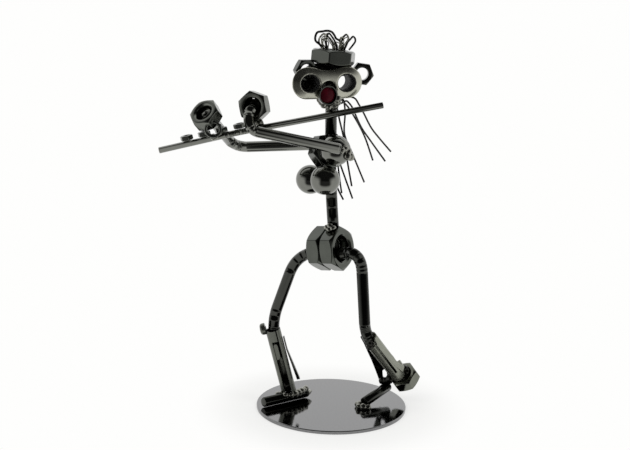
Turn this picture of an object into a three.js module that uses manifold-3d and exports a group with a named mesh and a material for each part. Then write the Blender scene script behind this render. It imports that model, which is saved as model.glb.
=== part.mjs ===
// Flute player figure welded from nuts, rods, balls, sleeves and wire.
// Millimetres, +Z up. The origin is the centre of the base plate on its underside.
// Azimuth 0 looks along +Y, so -Y is the side that the figure shows to the viewer.
// Left and right are the figure's own sides: its right is towards -X.

import * as THREE from "three";
import { mergeVertices } from "three/addons/utils/BufferGeometryUtils.js";
import Module from "manifold-3d";

const wasm = await Module();
wasm.setup();

// Clearance that every seat keeps to its neighbour
const SEAT = 0.3;

// Base plate
const BASE_DIAMETER = 75;
const BASE_THICKNESS = 1.8;
const BASE_EDGE = 0.3;
const BASE_SIDES = 60;

// Rod stock
const LIMB_DIAMETER = 5.6;
const ARM_DIAMETER = 5.2;
const FOOT_DIAMETER = 4.9;
const FLUTE_DIAMETER = 3;
const HAIR_DIAMETER = 0.9;
const ROD_SIDES = 12;
const FLUTE_SIDES = 12;
const HAIR_SIDES = 5;
const BEND_STEPS = 4;

// Hexagon nuts: across flats, thickness, bore
const LARGE_NUT = { flats: 19.4, thick: 7.7, bore: 12.4 };
const HAT_NUT = { flats: 19.3, thick: 6.9, bore: 12.4 };
const CHEST_NUT = { flats: 16, thick: 8, bore: 10.4 };
const HAND_NUT = { flats: 13.2, thick: 6.5, bore: 8 };
const HEEL_NUT = { flats: 13, thick: 6.2, bore: 8 };
const EAR_NUT = { flats: 10, thick: 4.6, bore: 6 };
const FINGER_NUT = { flats: 8, thick: 3, bore: 5.2 };
const KEY_NUT = { flats: 5.5, thick: 2.3, bore: 2.9 };
const NUT_SIDES = 18;
const KEY_SIDES = 12;

// Chamfer circle of a nut as a share of its across flats, and its slope
const chamferShare = 0.95;
const chamferSlope = Math.tan(Math.PI / 6);
const countersinkShare = 0.06;

// Steel balls
const BUST_BALL = 14.2;
const SHOULDER_BALL = 14.6;
const BALL_SIDES = 20;
const BALL_ROWS = 11;

// Slotted shin sleeves and their sprung strips
const SLEEVE_DIAMETER = 7.4;
const SLEEVE_WALL = 0.45;
const SLEEVE_SIDES = 24;
const RIGHT_COLLAR = 5.6;
const RIGHT_SLOT = 3.5;
const RIGHT_SEAM = 0.6;
const RIGHT_STRIP_WIDTH = 2.2;
const RIGHT_STRIP_START = 5;
const RIGHT_STRIP_BEND = 12;
const RIGHT_STRIP_END = 29;
const RIGHT_STRIP_FLARE = 2.4;
const STRIP_THICKNESS = 0.7;
const LEFT_SLEEVE_LENGTH = 30.4;
const LEFT_COLLAR = 6;
const LEFT_SLOT = 0.8;
const LEFT_SLOT_RIGHT = 1.2;
const LEFT_SLOT_LEFT = -3;
const LEFT_TONGUE = 3.4;
const LUG_REACH = 1.6;
const LUG_WIDTH = 3;
const LUG_LENGTH = 3.6;
const LEFT_STRIP_LENGTH = 35.5;

// Knee screw
const SCREW_HEAD_DIAMETER = 5.8;
const SCREW_HEAD_HEIGHT = 2.6;
const SCREW_SHANK_DIAMETER = 2.6;
const SCREW_SHANK_LENGTH = 0.4;
const SCREW_RISE = 1.2;

// Goggles, a cast saddle with two holes and a notch over the nose
const GOGGLE_RADIUS = 7.65;
const GOGGLE_LENGTH = 36;
const GOGGLE_DEPTH = 8.5;
const GOGGLE_SPACING = 18.6;
const GOGGLE_HOLE_WIDTH = 9.6;
const GOGGLE_HOLE_HEIGHT = 8.4;
const GOGGLE_BRIDGE = 6;
const GOGGLE_NOTCH = 8.2;
const GOGGLE_NOTCH_TOP = 1.1;
const GOGGLE_CORNER = 1.8;
const GOGGLE_BEVEL = 1.1;
const GOGGLE_SIDES = 6;
const GOGGLE_DRILL = 40;
const goggleTaperShare = 0.16;

// Nose
const NOSE_DIAMETER = 9.2;
const NOSE_WALL = 0.5;
const NOSE_DEPTH = 2.4;
const NOSE_FLOOR = 0.6;
const NOSE_DOME_HEIGHT = 1.2;
const NOSE_SIDES = 24;

// Weld metal and the plug that holds the curls
const WELD_BEAD = 2;
const WELD_SIDES = 8;
const HAIR_PLUG = 1.2;
const CURL_STEPS = 18;
const STRAND_STEPS = 9;

// Places of the legs
const RIGHT_TOE = [-33.8, -7.8];
const RIGHT_FOOT_LENGTH = 26;
const RIGHT_FOOT_TURN = 36.9;
const RIGHT_SPUR_LENGTH = 3.6;
const RIGHT_KNEE = [-29.8, -1.6, 40.6];
const rightAnkleShare = 0.63;
const RIGHT_KNEE_RISE = 2;
const RIGHT_HIP_BEND = [-18.1, 8.2, 76.9, 8];
const hipDropShare = 0.6;
const hipBackShare = 0.8;
const RIGHT_ROD_DEPTH = 15;
const LEFT_TOE = [16.3, -5.8, 4.8];
const LEFT_HEEL_SHIFT = [-7.5, 0.2];
const LEFT_HEEL_DROP = 3;
const LEFT_KNEE = [19.5, -8, 37.2];
const LEFT_ROD_END = [15.5, -9.3, 38.2];
const LEFT_HIP_BEND = [11.3, -12.6, 83.3, 4];
const LEFT_SHIN_AXIS = [0.47, 0.5, -0.73];
const HEEL_NUT_SHIFT = 2.3;
const HEEL_NUT_DROP = 0.4;

// Places of the body
const PELVIS_CENTRE = [-2.3, 0, 82];
const HIP_AXIS = [0.808, -0.571, 0.14];
const SPINE_FOOT = [-0.9, -1.8, 91.5];
const SPINE_BEND = [-2.3, 0, 108, 6];
const SPINE_TOP = [-3, 0, 122.4];
const CHEST_CENTRE = [-4.7, 0, 130];
const SHOULDER_AXIS = [0.45, -0.88, 0.19];
const NECK_FOOT = [-3.2, 0, 137];
const NECK_LEAN = [-0.25, 0.3];
const BUST_HEIGHT_LEFT = 117.9;
const BUST_HEIGHT_RIGHT = 115.7;
const BUST_TURN_LEFT = 254;
const BUST_TURN_RIGHT = 167;
const BUST_FORWARD_LEFT = 1.7;

// Places of the flute, arms and hands
const FLUTE_FREE_END = [-84.6, -10, 130.3];
const FLUTE_BOW = [-46.4, -7.5, 139.6, 8];
const FLUTE_MOUTH_HEIGHT = 148.2;
const FLUTE_REACH = 25.2;
const KEY_DISTANCES = [14.2, 22.7, 30.9, 39.9];
const KEY_CORNER = [0.35, -1, 0];
const LEFT_SHOULDER_LEAN = [0.24, -0.94, 0.2];
const LEFT_ELBOW = [-42.1, -12.9, 141.3, 5];
const LEFT_HAND = [-40.8, -9.5, 152];
const LEFT_HAND_AXIS = [-0.32, -0.94, 0.09];
const LEFT_HAND_TURN = 15;
const RIGHT_SHOULDER = [-8.5, 3.9, 132.6];
const RIGHT_ELBOW = [-49.8, 9.2, 129.7, 7];
const RIGHT_HAND = [-63.6, -11.5, 149.4];
const RIGHT_HAND_AXIS = [-0.41, -0.64, 0.64];
const RIGHT_ARM_SINK = 3;
const RIGHT_ARM_RISE = 1.3;
const LEFT_ARM_SINK = 3;
const LEFT_ARM_DROP = 0.6;
const WRIST_REACH = 3.3;
const WRIST_DROP = 2.3;
const FINGER_CENTRE = [-58.6, -13.4, 141.5];

// Places of the head
const GOGGLE_CENTRE = [-4.65, -8, 163.45];
const FACING = [0.39, -0.92, 0];
const NOSE_SHIFT = -1.4;
const NOSE_DROP = 5.35;
const HAT_SHIFT = [1.75, 12];
const HAT_RISE = 0.1;
const HAT_AXIS = [0.075, 0.024, 1];
const HAT_CORNER = [-0.194, -0.981, 0];
const RIGHT_EAR = [-7.6, 5.3];
const LEFT_EAR = [11.05, 7.7, 166.9];
const LEFT_EAR_AXIS = [0.1, -1, 0];
const LEFT_EAR_CORNER = [0.99, 0, -0.14];
const STRAND_ROOT = [0, 8.5, 155];
const STRAND_LENGTH = 50;

const HALF = 0.5;
const FULL_TURN = Math.PI * 2;
const DEGREE = Math.PI / 180;
const HEX_SIDES = 6;
const MERGE = 1e-4;
const UP = [0, 0, 1];
const VIEWER = [0, -1, 0];
const SIDEWAYS = [1, 0.5, 0.09];

// Finishes
const blackChrome = { color: 0x4a4c48, roughness: 0.16, metalness: 1 };
const darkChrome = { color: 0x33353a, roughness: 0.2, metalness: 1 };
const paleChrome = { color: 0x6b6d66, roughness: 0.22, metalness: 1 };
const weldMetal = { color: 0x5a5a54, roughness: 0.34, metalness: 1 };
const plateChrome = { color: 0x7d7e80, roughness: 0.12, metalness: 1 };
const wireSteel = { color: 0x2b2b2a, roughness: 0.3, metalness: 1 };
const redEnamel = { color: 0x4a0712, roughness: 0.3, metalness: 0.2 };

function vec(p) {
  return new THREE.Vector3(p[0], p[1], p[2]);
}

// A frame at a point: Z along the axis, Y as near to the hint as it can be
function frameAt(origin, axis, hint) {
  const z = vec(axis).normalize();
  const y = vec(hint);
  y.addScaledVector(z, -y.dot(z)).normalize();
  const x = new THREE.Vector3().crossVectors(y, z);
  return new THREE.Matrix4().makeBasis(x, y, z).setPosition(vec(origin));
}

// Closed geometry to a solid, and back
function solidOf(geometry, matrix) {
  const bare = geometry.index ? geometry.toNonIndexed() : geometry.clone();
  bare.deleteAttribute("normal");
  bare.deleteAttribute("uv");
  if (matrix) bare.applyMatrix4(matrix);
  const merged = mergeVertices(bare, MERGE);
  const vertProperties = merged.attributes.position.array;
  const triVerts = new Uint32Array(merged.index.array);
  return new wasm.Manifold(new wasm.Mesh({ numProp: 3, vertProperties, triVerts }));
}

function geometryOf(solid) {
  const mesh = solid.getMesh();
  const stride = mesh.numProp;
  const positions = new Float32Array(mesh.numVert * 3);
  for (let i = 0; i < mesh.numVert; i++) {
    positions.set(mesh.vertProperties.subarray(i * stride, i * stride + 3), i * 3);
  }
  const geometry = new THREE.BufferGeometry();
  geometry.setAttribute("position", new THREE.BufferAttribute(positions, 3));
  geometry.setIndex(new THREE.BufferAttribute(new Uint32Array(mesh.triVerts), 1));
  geometry.computeVertexNormals();
  return geometry;
}

function moved(solid, matrix) {
  return solidOf(geometryOf(solid), matrix);
}

function cutBy(solid, cutters) {
  return cutters.reduce((left, cutter) => left.subtract(cutter), solid);
}

function joined(solids) {
  return solids.reduce((sum, next) => sum.add(next));
}

// A path that visits chosen stations, so straights cost one step and bends a few
class StationPath extends THREE.Curve {
  constructor(points, tangents) {
    super();
    this.points = points;
    this.tangents = tangents;
  }

  blend(list, t) {
    const last = list.length - 1;
    const at = Math.min(Math.max(t, 0), 1) * last;
    const low = Math.min(Math.floor(at + MERGE), last);
    const high = Math.min(low + 1, last);
    return list[low].clone().lerp(list[high], Math.max(at - low, 0));
  }

  getPoint(t) {
    return this.blend(this.points, t);
  }

  getPointAt(u) {
    return this.getPoint(u);
  }

  getTangent(t) {
    return this.blend(this.tangents, t).normalize();
  }

  getTangentAt(u) {
    return this.getTangent(u);
  }

  getSpacedPoints(divisions) {
    return Array.from({ length: divisions + 1 }, (_, i) => this.getPoint(i / divisions));
  }
}

function polygon(radius, sides) {
  const corners = [];
  for (let i = 0; i < sides; i++) {
    const angle = (FULL_TURN * i) / sides;
    corners.push(new THREE.Vector2(Math.cos(angle) * radius, Math.sin(angle) * radius));
  }
  return new THREE.Shape(corners);
}

// A bent rod: each route point is [x, y, z], and each inner one has the length of its bend
function rodGeometry(route, diameter, sides) {
  const corners = route.map(vec);
  const points = [corners[0].clone()];
  const tangents = [corners[1].clone().sub(corners[0]).normalize()];
  for (let i = 1; i < corners.length - 1; i++) {
    const into = corners[i].clone().sub(corners[i - 1]);
    const out = corners[i + 1].clone().sub(corners[i]);
    const reach = Math.min(route[i][3], into.length(), out.length());
    const start = corners[i].clone().addScaledVector(into.normalize(), -reach);
    const end = corners[i].clone().addScaledVector(out.normalize(), reach);
    const arc = new THREE.QuadraticBezierCurve3(start, corners[i], end);
    for (let k = 0; k <= BEND_STEPS; k++) {
      const point = arc.getPoint(k / BEND_STEPS);
      if (point.distanceTo(points[points.length - 1]) < HAIR_DIAMETER * HALF) continue;
      points.push(point);
      tangents.push(arc.getTangent(k / BEND_STEPS));
    }
  }
  points.push(corners[corners.length - 1].clone());
  tangents.push(points[points.length - 1].clone().sub(corners[corners.length - 2]).normalize());
  const path = new StationPath(points, tangents);
  const section = polygon(diameter * HALF, sides);
  const options = { steps: points.length - 1, extrudePath: path, curveSegments: 1 };
  return new THREE.ExtrudeGeometry(section, options);
}

// A wire through points along a smooth curve
function wireGeometry(route, diameter, steps) {
  const curve = new THREE.CatmullRomCurve3(route.map(vec), false, "centripetal");
  const points = curve.getSpacedPoints(steps);
  const tangents = points.map((_, i) => curve.getTangentAt(i / steps));
  const path = new StationPath(points, tangents);
  const section = polygon(diameter * HALF, HAIR_SIDES);
  return new THREE.ExtrudeGeometry(section, { steps, extrudePath: path, curveSegments: 1 });
}

function latheProfile(points, sides) {
  const geometry = new THREE.LatheGeometry(points.map((p) => new THREE.Vector2(p[0], p[1])), sides);
  return geometry.rotateX(Math.PI * HALF);
}

// A nut without its hole, centred on the origin, its axis along Z and its corners on Y
function nutBlank(nut, sides, grow) {
  const flats = nut.flats + grow * 2;
  const half = nut.thick * HALF + grow;
  const corner = (flats * HALF) / Math.cos(Math.PI / HEX_SIDES);
  const prism = new THREE.CylinderGeometry(corner, corner, half * 2, HEX_SIDES).rotateX(Math.PI * HALF);
  const ring = flats * HALF * chamferShare;
  const wide = corner + SEAT;
  const drop = (wide - ring) * chamferSlope;
  const lens = [
    [0, -half - SEAT],
    [ring - SEAT / chamferSlope, -half - SEAT],
    [wide, -half + drop],
    [wide, half - drop],
    [ring - SEAT / chamferSlope, half + SEAT],
    [0, half + SEAT],
  ];
  return solidOf(prism).intersect(solidOf(latheProfile(lens, sides)));
}

// The same nut with its countersunk hole
function nutSolid(nut, sides, grow) {
  const half = nut.thick * HALF + grow;
  const bore = nut.bore * HALF - grow;
  const sink = nut.flats * countersinkShare;
  const hole = [
    [0, -half - SEAT],
    [bore + sink + SEAT, -half - SEAT],
    [bore, -half + sink],
    [bore, half - sink],
    [bore + sink + SEAT, half + SEAT],
    [0, half + SEAT],
  ];
  return nutBlank(nut, sides, grow).subtract(solidOf(latheProfile(hole, sides)));
}

function ballGeometry(diameter) {
  return new THREE.SphereGeometry(diameter * HALF, BALL_SIDES, BALL_ROWS);
}

const figure = new THREE.Group();

function addMesh(parent, name, geometry, finish, matrix) {
  const mesh = new THREE.Mesh(geometry, new THREE.MeshStandardMaterial(finish));
  mesh.name = name;
  if (matrix) matrix.decompose(mesh.position, mesh.quaternion, mesh.scale);
  parent.add(mesh);
  return mesh;
}

function addSolid(parent, name, solid, finish, matrix) {
  return addMesh(parent, name, geometryOf(solid), finish, matrix);
}

// Points as arrays: a step along a direction, a share of the way, a point of a frame
function step(from, direction, distance) {
  return vec(from).addScaledVector(vec(direction).normalize(), distance).toArray();
}

function between(from, to, share) {
  return vec(from).lerp(vec(to), share).toArray();
}

function inFrame(matrix, point) {
  return vec(point).applyMatrix4(matrix).toArray();
}

function heading(from, to) {
  return vec(to).sub(vec(from)).normalize().toArray();
}

function gap(from, to) {
  return vec(from).distanceTo(vec(to));
}

// A rod as a solid, and the room that it needs with its clearance
function rodSolid(route, diameter, sides) {
  return solidOf(rodGeometry(route, diameter, sides));
}

function rodRoom(route, diameter, sides) {
  const last = route.length - 1;
  const longer = route.slice();
  longer[0] = step(route[0], heading(route[1], route[0]), SEAT);
  longer[last] = step(route[last], heading(route[last - 1], route[last]), SEAT);
  return rodSolid(longer, diameter + SEAT * 2, sides);
}

function boxSolid(low, high) {
  const size = high.map((value, i) => value - low[i]);
  const box = new THREE.BoxGeometry(size[0], size[1], size[2]);
  return solidOf(box.translate(...between(low, high, HALF)));
}

// A plate with its outline in X and Z, centred on Y
function plateSolid(points, thickness) {
  const shape = new THREE.Shape(points.map((p) => new THREE.Vector2(p[0], p[1])));
  const plate = new THREE.ExtrudeGeometry(shape, { depth: thickness, bevelEnabled: false });
  return solidOf(plate.translate(0, 0, -thickness * HALF).rotateX(Math.PI * HALF));
}

// Weld beads about an anchor, each [x, y, z, radius] as shares of a size
function weldSolid(anchor, shares, size, grow) {
  const solids = shares.map(([x, y, z, radius]) => {
    const rows = Math.round(WELD_SIDES * HALF) + 1;
    const bead = new THREE.SphereGeometry(radius * size + grow, WELD_SIDES, rows);
    return solidOf(bead.translate(anchor[0] + x * size, anchor[1] + y * size, anchor[2] + z * size));
  });
  return joined(solids);
}

function addWeld(name, anchor, shares, cutters) {
  addSolid(figure, name, cutBy(weldSolid(anchor, shares, WELD_BEAD, 0), cutters), weldMetal);
}

// Base plate
const plateRadius = BASE_DIAMETER * HALF;
const plateProfile = [
  [0, 0],
  [plateRadius - BASE_EDGE, 0],
  [plateRadius, BASE_EDGE],
  [plateRadius, BASE_THICKNESS - BASE_EDGE],
  [plateRadius - BASE_EDGE, BASE_THICKNESS],
  [0, BASE_THICKNESS],
];
addMesh(figure, "base_plate", latheProfile(plateProfile, BASE_SIDES), plateChrome);
const plateReach = BASE_DIAMETER;
const plateRoom = boxSolid([-plateReach, -plateReach, 0], [plateReach, plateReach, BASE_THICKNESS + SEAT]);

// Pelvis: two large nuts side by side on the hip axis
const hipStep = (LARGE_NUT.thick + SEAT) * HALF;
const pelvisFrames = {
  pelvis_nut_right: frameAt(step(PELVIS_CENTRE, HIP_AXIS, -hipStep), HIP_AXIS, UP),
  pelvis_nut_left: frameAt(step(PELVIS_CENTRE, HIP_AXIS, hipStep), HIP_AXIS, UP),
};
const largeNut = nutSolid(LARGE_NUT, NUT_SIDES, 0);
const largeNutRoom = nutSolid(LARGE_NUT, NUT_SIDES, SEAT);
for (const [name, matrix] of Object.entries(pelvisFrames)) {
  addSolid(figure, name, largeNut, blackChrome, matrix);
}
const pelvisRoom = Object.values(pelvisFrames).map((matrix) => moved(largeNutRoom, matrix));

// Right foot: a rod on the plate
const footHeight = BASE_THICKNESS + SEAT + FOOT_DIAMETER * HALF;
const rightToe = [...RIGHT_TOE, footHeight];
const footHeading = [Math.cos(RIGHT_FOOT_TURN * DEGREE), Math.sin(RIGHT_FOOT_TURN * DEGREE), 0];
const rightHeel = step(rightToe, footHeading, RIGHT_FOOT_LENGTH);
const rightFootRoute = [rightToe, rightHeel];
addMesh(figure, "right_foot", rodGeometry(rightFootRoute, FOOT_DIAMETER, ROD_SIDES), blackChrome);
const rightFootRoom = rodRoom(rightFootRoute, FOOT_DIAMETER, ROD_SIDES);

// Right shin: a slotted sleeve that stands on the foot
const rightAnkle = between(rightToe, rightHeel, rightAnkleShare);
const rightShinAxis = heading(RIGHT_KNEE, rightAnkle);
const rightShin = frameAt(RIGHT_KNEE, rightShinAxis, VIEWER);
const sleeveRadius = SLEEVE_DIAMETER * HALF;
const sleeveBore = sleeveRadius - SLEEVE_WALL;
const rightSleeveLength = gap(RIGHT_KNEE, rightAnkle) - FOOT_DIAMETER * HALF - SEAT;

// The pan-head screw at the right knee
const headRadius = SCREW_HEAD_DIAMETER * HALF;
const shankRadius = SCREW_SHANK_DIAMETER * HALF;
const screwTop = SCREW_SHANK_LENGTH + SCREW_HEAD_HEIGHT;
const screwProfile = [
  [0, 0],
  [shankRadius, 0],
  [shankRadius, SCREW_SHANK_LENGTH],
  [headRadius, SCREW_SHANK_LENGTH],
  [headRadius, screwTop - SCREW_HEAD_HEIGHT * HALF],
  [headRadius - SCREW_HEAD_HEIGHT * HALF, screwTop],
  [0, screwTop],
];
const screwPlace = inFrame(rightShin, [-LIMB_DIAMETER * HALF - SEAT, 0, -SCREW_RISE]);
const screwAxis = heading(RIGHT_KNEE, inFrame(rightShin, [-sleeveRadius, 0, 0]));
const screwFrame = frameAt(screwPlace, screwAxis, UP);
addMesh(figure, "right_knee_screw", latheProfile(screwProfile, NUT_SIDES), blackChrome, screwFrame);
const screwRod = [screwPlace, step(screwPlace, screwAxis, screwTop)];
const screwRoom = rodRoom(screwRod, SCREW_HEAD_DIAMETER, NUT_SIDES);

// The sleeve itself, slotted at the front and split at its collar
function tubeProfile(low, high) {
  const outer = [[sleeveRadius, low], [sleeveRadius, high]];
  const inner = [[sleeveBore, high], [sleeveBore, low]];
  return [inner[1], ...outer, ...inner];
}
const rightTube = solidOf(latheProfile(tubeProfile(0, rightSleeveLength), SLEEVE_SIDES));
const rightSlotEnd = rightSleeveLength + SEAT;
const slotHalf = RIGHT_SLOT * HALF;
const rightSlot = boxSolid([-slotHalf, 0, RIGHT_COLLAR], [slotHalf, SLEEVE_DIAMETER, rightSlotEnd]);
const seamTop = [slotHalf, SLEEVE_DIAMETER, RIGHT_COLLAR + SEAT];
const rightSeam = boxSolid([slotHalf - RIGHT_SEAM, 0, -SEAT], seamTop);
const rightSleeve = moved(cutBy(rightTube, [rightSlot, rightSeam]), rightShin);
addSolid(figure, "right_shin_sleeve", cutBy(rightSleeve, [rightFootRoom, screwRoom]), blackChrome);
const rightSleeveRod = [RIGHT_KNEE, inFrame(rightShin, [0, 0, rightSleeveLength])];
const rightSleeveRoom = rodRoom(rightSleeveRod, SLEEVE_DIAMETER, SLEEVE_SIDES);

// The sprung strip beside the right sleeve
const stripNear = sleeveRadius + SEAT;
const stripFar = stripNear + STRIP_THICKNESS;
const rightStripPoints = [
  [stripNear, RIGHT_STRIP_START],
  [stripNear, RIGHT_STRIP_BEND],
  [stripNear + RIGHT_STRIP_FLARE, RIGHT_STRIP_END],
  [stripFar + RIGHT_STRIP_FLARE, RIGHT_STRIP_END],
  [stripFar, RIGHT_STRIP_BEND],
  [stripFar, RIGHT_STRIP_START],
];
const rightStrip = moved(plateSolid(rightStripPoints, RIGHT_STRIP_WIDTH), rightShin);
addSolid(figure, "right_shin_strip", rightStrip, darkChrome);

// Right leg rod: from the pelvis bore to the inside of the sleeve
const boreRoom = (LARGE_NUT.bore - LIMB_DIAMETER) * HALF - SEAT;
const hipBack = [-HIP_AXIS[1], HIP_AXIS[0], 0];
const rightBore = step(PELVIS_CENTRE, HIP_AXIS, -hipStep * HALF);
const rightHip = step(step(rightBore, UP, -boreRoom * hipDropShare), hipBack, boreRoom * hipBackShare);
const rightRodEnd = inFrame(rightShin, [0, 0, RIGHT_ROD_DEPTH]);
const rightKneeBend = [...inFrame(rightShin, [0, 0, -RIGHT_KNEE_RISE]), RIGHT_KNEE_RISE];
const rightLegRoute = [rightHip, RIGHT_HIP_BEND, rightKneeBend, rightRodEnd];
const rightLeg = cutBy(rodSolid(rightLegRoute, LIMB_DIAMETER, ROD_SIDES), pelvisRoom);
addSolid(figure, "right_leg_rod", rightLeg, blackChrome);

// The weld around the foot of the right shin, drawn out to a spur past the heel
const rightFootWeldShares = [
  [-3.1, -0.9, 0.75, 0.6],
  [-2.2, -1.35, 0.9, 0.75],
  [-1.1, -1.75, 0.9, 0.85],
  [0.2, -1.65, 0.95, 0.85],
  [1.3, -1.0, 0.95, 0.9],
  [2.1, 0.1, 0.95, 0.85],
  [2.9, 1.2, 0.95, 0.85],
  [3.4, 2.0, 0.85, 0.8],
  [3.8, 2.7, 1.1, 0.75],
];
const spurShares = [[0, 0], [0.9, 0], [0.6, 0.4], [0.2, 0.85], [0, 1]];
const spurProfile = spurShares.map(([r, z]) => [r * FOOT_DIAMETER * HALF, z * RIGHT_SPUR_LENGTH]);
const spurFrame = frameAt(step(rightHeel, footHeading, SEAT), footHeading, UP);
const spur = moved(solidOf(latheProfile(spurProfile, FLUTE_SIDES)), spurFrame);
const footBeads = joined([weldSolid(rightAnkle, rightFootWeldShares, WELD_BEAD, 0), spur]);
const footWeld = cutBy(footBeads, [rightFootRoom, rightSleeveRoom, plateRoom]);
addSolid(figure, "right_foot_weld", footWeld, weldMetal);

// Left foot: a rod that stands on its toe and reaches to the end of the left shin
const leftShin = frameAt(LEFT_KNEE, LEFT_SHIN_AXIS, VIEWER);
const leftHeel = inFrame(leftShin, [...LEFT_HEEL_SHIFT, LEFT_SLEEVE_LENGTH + LEFT_HEEL_DROP]);
const leftFootRoute = [LEFT_TOE, leftHeel];
const leftFootRod = rodSolid(leftFootRoute, FOOT_DIAMETER, ROD_SIDES);
addSolid(figure, "left_foot", cutBy(leftFootRod, [plateRoom]), blackChrome);
const leftFootRoom = rodRoom(leftFootRoute, FOOT_DIAMETER, ROD_SIDES);
const leftToeWeldShares = [
  [-0.85, 0.2, -0.7, 0.95],
  [-1.45, 1.1, -0.9, 0.75],
  [-0.15, -1.1, -0.8, 0.85],
  [0.95, -0.9, -0.9, 0.75],
  [-1.25, -0.7, -0.9, 0.7],
];
addWeld("left_toe_weld", LEFT_TOE, leftToeWeldShares, [plateRoom, leftFootRoom]);

// Left leg rod: from the pelvis bore to the knee
const leftHip = step(step(PELVIS_CENTRE, HIP_AXIS, hipStep * HALF), UP, -boreRoom);
const leftLegRoute = [leftHip, LEFT_HIP_BEND, LEFT_ROD_END];
const leftLeg = cutBy(rodSolid(leftLegRoute, LIMB_DIAMETER, ROD_SIDES), pelvisRoom);
addSolid(figure, "left_leg_rod", leftLeg, blackChrome);
const leftLegRoom = rodRoom(leftLegRoute, LIMB_DIAMETER, ROD_SIDES);

// Left shin: a sleeve with splayed legs at the knee and its collar at the heel
const leftTube = solidOf(latheProfile(tubeProfile(-LEFT_TONGUE, LEFT_SLEEVE_LENGTH), SLEEVE_SIDES));
const leftSlotEnd = LEFT_SLEEVE_LENGTH - LEFT_COLLAR;
const tongueEdge = sleeveRadius * HALF;
const slotLow = -LEFT_TONGUE - SEAT * 2;
function mouthCut(grow) {
  const low = [-SLEEVE_DIAMETER, -SLEEVE_DIAMETER, slotLow];
  return boxSolid(low, [tongueEdge - grow, SLEEVE_DIAMETER, -grow]);
}
function frontSlot(x) {
  return boxSolid([x, 0, slotLow], [x + LEFT_SLOT, SLEEVE_DIAMETER, leftSlotEnd]);
}
const leftSlots = [frontSlot(LEFT_SLOT_RIGHT), frontSlot(LEFT_SLOT_LEFT)];
const lugHalf = LUG_WIDTH * HALF;
const lugLow = [sleeveBore - SLEEVE_WALL, -lugHalf, leftSlotEnd - LUG_LENGTH * HALF];
const lugHigh = [sleeveRadius + LUG_REACH, lugHalf, leftSlotEnd + LUG_LENGTH * HALF];
const splitTube = cutBy(leftTube, [mouthCut(0), ...leftSlots]);
const leftSleeve = moved(joined([splitTube, boxSolid(lugLow, lugHigh)]), leftShin);
addSolid(figure, "left_shin_sleeve", cutBy(leftSleeve, [leftLegRoom, leftFootRoom]), blackChrome);
const leftSleeveEnds = [[0, 0, -LEFT_TONGUE], [0, 0, LEFT_SLEEVE_LENGTH]];
const leftSleeveRod = rodRoom(leftSleeveEnds, SLEEVE_DIAMETER, SLEEVE_SIDES);
const leftSleeveRoom = moved(cutBy(leftSleeveRod, [mouthCut(SEAT)]), leftShin);

// The sprung strip behind the left sleeve, as shares of its length
const leftStripShares = [
  [-0.12, -0.068],
  [-0.135, 0.07],
  [-0.17, 0.275],
  [-0.194, 0.43],
  [-0.237, 0.648],
  [-0.307, 0.975],
  [-0.242, 0.975],
  [-0.2, 0.837],
  [-0.163, 0.75],
  [-0.085, 0.735],
  [-0.05, 0.127],
  [-0.05, -0.068],
];
const leftStripPoints = leftStripShares.map((pair) => pair.map((share) => share * LEFT_STRIP_LENGTH));
const leftStripFrame = leftShin.clone();
leftStripFrame.setPosition(vec(inFrame(leftShin, [0, -stripFar, 0])));
const leftStrip = moved(plateSolid(leftStripPoints, STRIP_THICKNESS), leftStripFrame);
addSolid(figure, "left_shin_strip", cutBy(leftStrip, [leftLegRoom, leftFootRoom]), darkChrome);
const leftStripRoom = moved(plateSolid(leftStripPoints, STRIP_THICKNESS + SEAT * 2), leftStripFrame);

// The nut at the end of the left shin
const heelNutDepth = LEFT_SLEEVE_LENGTH + SEAT + HEEL_NUT.thick * HALF;
const heelNutPlace = step(inFrame(leftShin, [HEEL_NUT_SHIFT, 0, heelNutDepth]), UP, -HEEL_NUT_DROP);
const heelNutFrame = frameAt(heelNutPlace, LEFT_SHIN_AXIS, UP);
addSolid(figure, "left_heel_nut", nutSolid(HEEL_NUT, NUT_SIDES, 0), blackChrome, heelNutFrame);
const heelNutRoom = moved(nutSolid(HEEL_NUT, NUT_SIDES, SEAT), heelNutFrame);

// Welds of the left shin
const leftKneeWeldShares = [
  [-0.6, -0.5, 1.45, 0.75],
  [-0.6, -0.65, 0.6, 0.9],
  [-0.7, -0.75, -0.2, 0.9],
  [-0.6, -0.9, -1.0, 0.8],
];
addWeld("left_knee_weld", LEFT_KNEE, leftKneeWeldShares, [leftLegRoom, leftSleeveRoom, leftStripRoom]);
const leftHeelWeldShares = [
  [-1.4, 0.3, 1.3, 0.9],
  [-0.6, -0.1, 1.45, 0.9],
  [0.2, -0.6, 1.7, 0.95],
  [0.5, -1.1, 2.2, 0.9],
];
// It runs behind the end of the sleeve into the bore of the heel nut
const heelRingShares = [
  [-2.2, -0.2, -0.6, 0.8],
  [-1.65, -1.5, -0.6, 0.75],
  [-0.6, -2.15, -0.6, 0.75],
  [0.6, -2.15, -0.6, 0.75],
  [1.65, -1.5, -0.6, 0.75],
  [2.3, -0.5, -0.4, 0.8],
  [2.4, 0.2, 0.3, 0.75],
  [2.3, 0.2, 1.1, 0.8],
  [1.05, 0.1, 1.85, 1.95],
];
const heelRing = weldSolid([0, 0, LEFT_SLEEVE_LENGTH], heelRingShares, WELD_BEAD, 0);
const heelBeads = weldSolid(leftHeel, leftHeelWeldShares, WELD_BEAD, 0);
const heelWeld = joined([heelBeads, moved(heelRing, leftShin)]);
const heelCutters = [leftFootRoom, leftSleeveRoom, leftStripRoom, heelNutRoom];
addSolid(figure, "left_heel_weld", cutBy(heelWeld, heelCutters), weldMetal);

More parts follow.
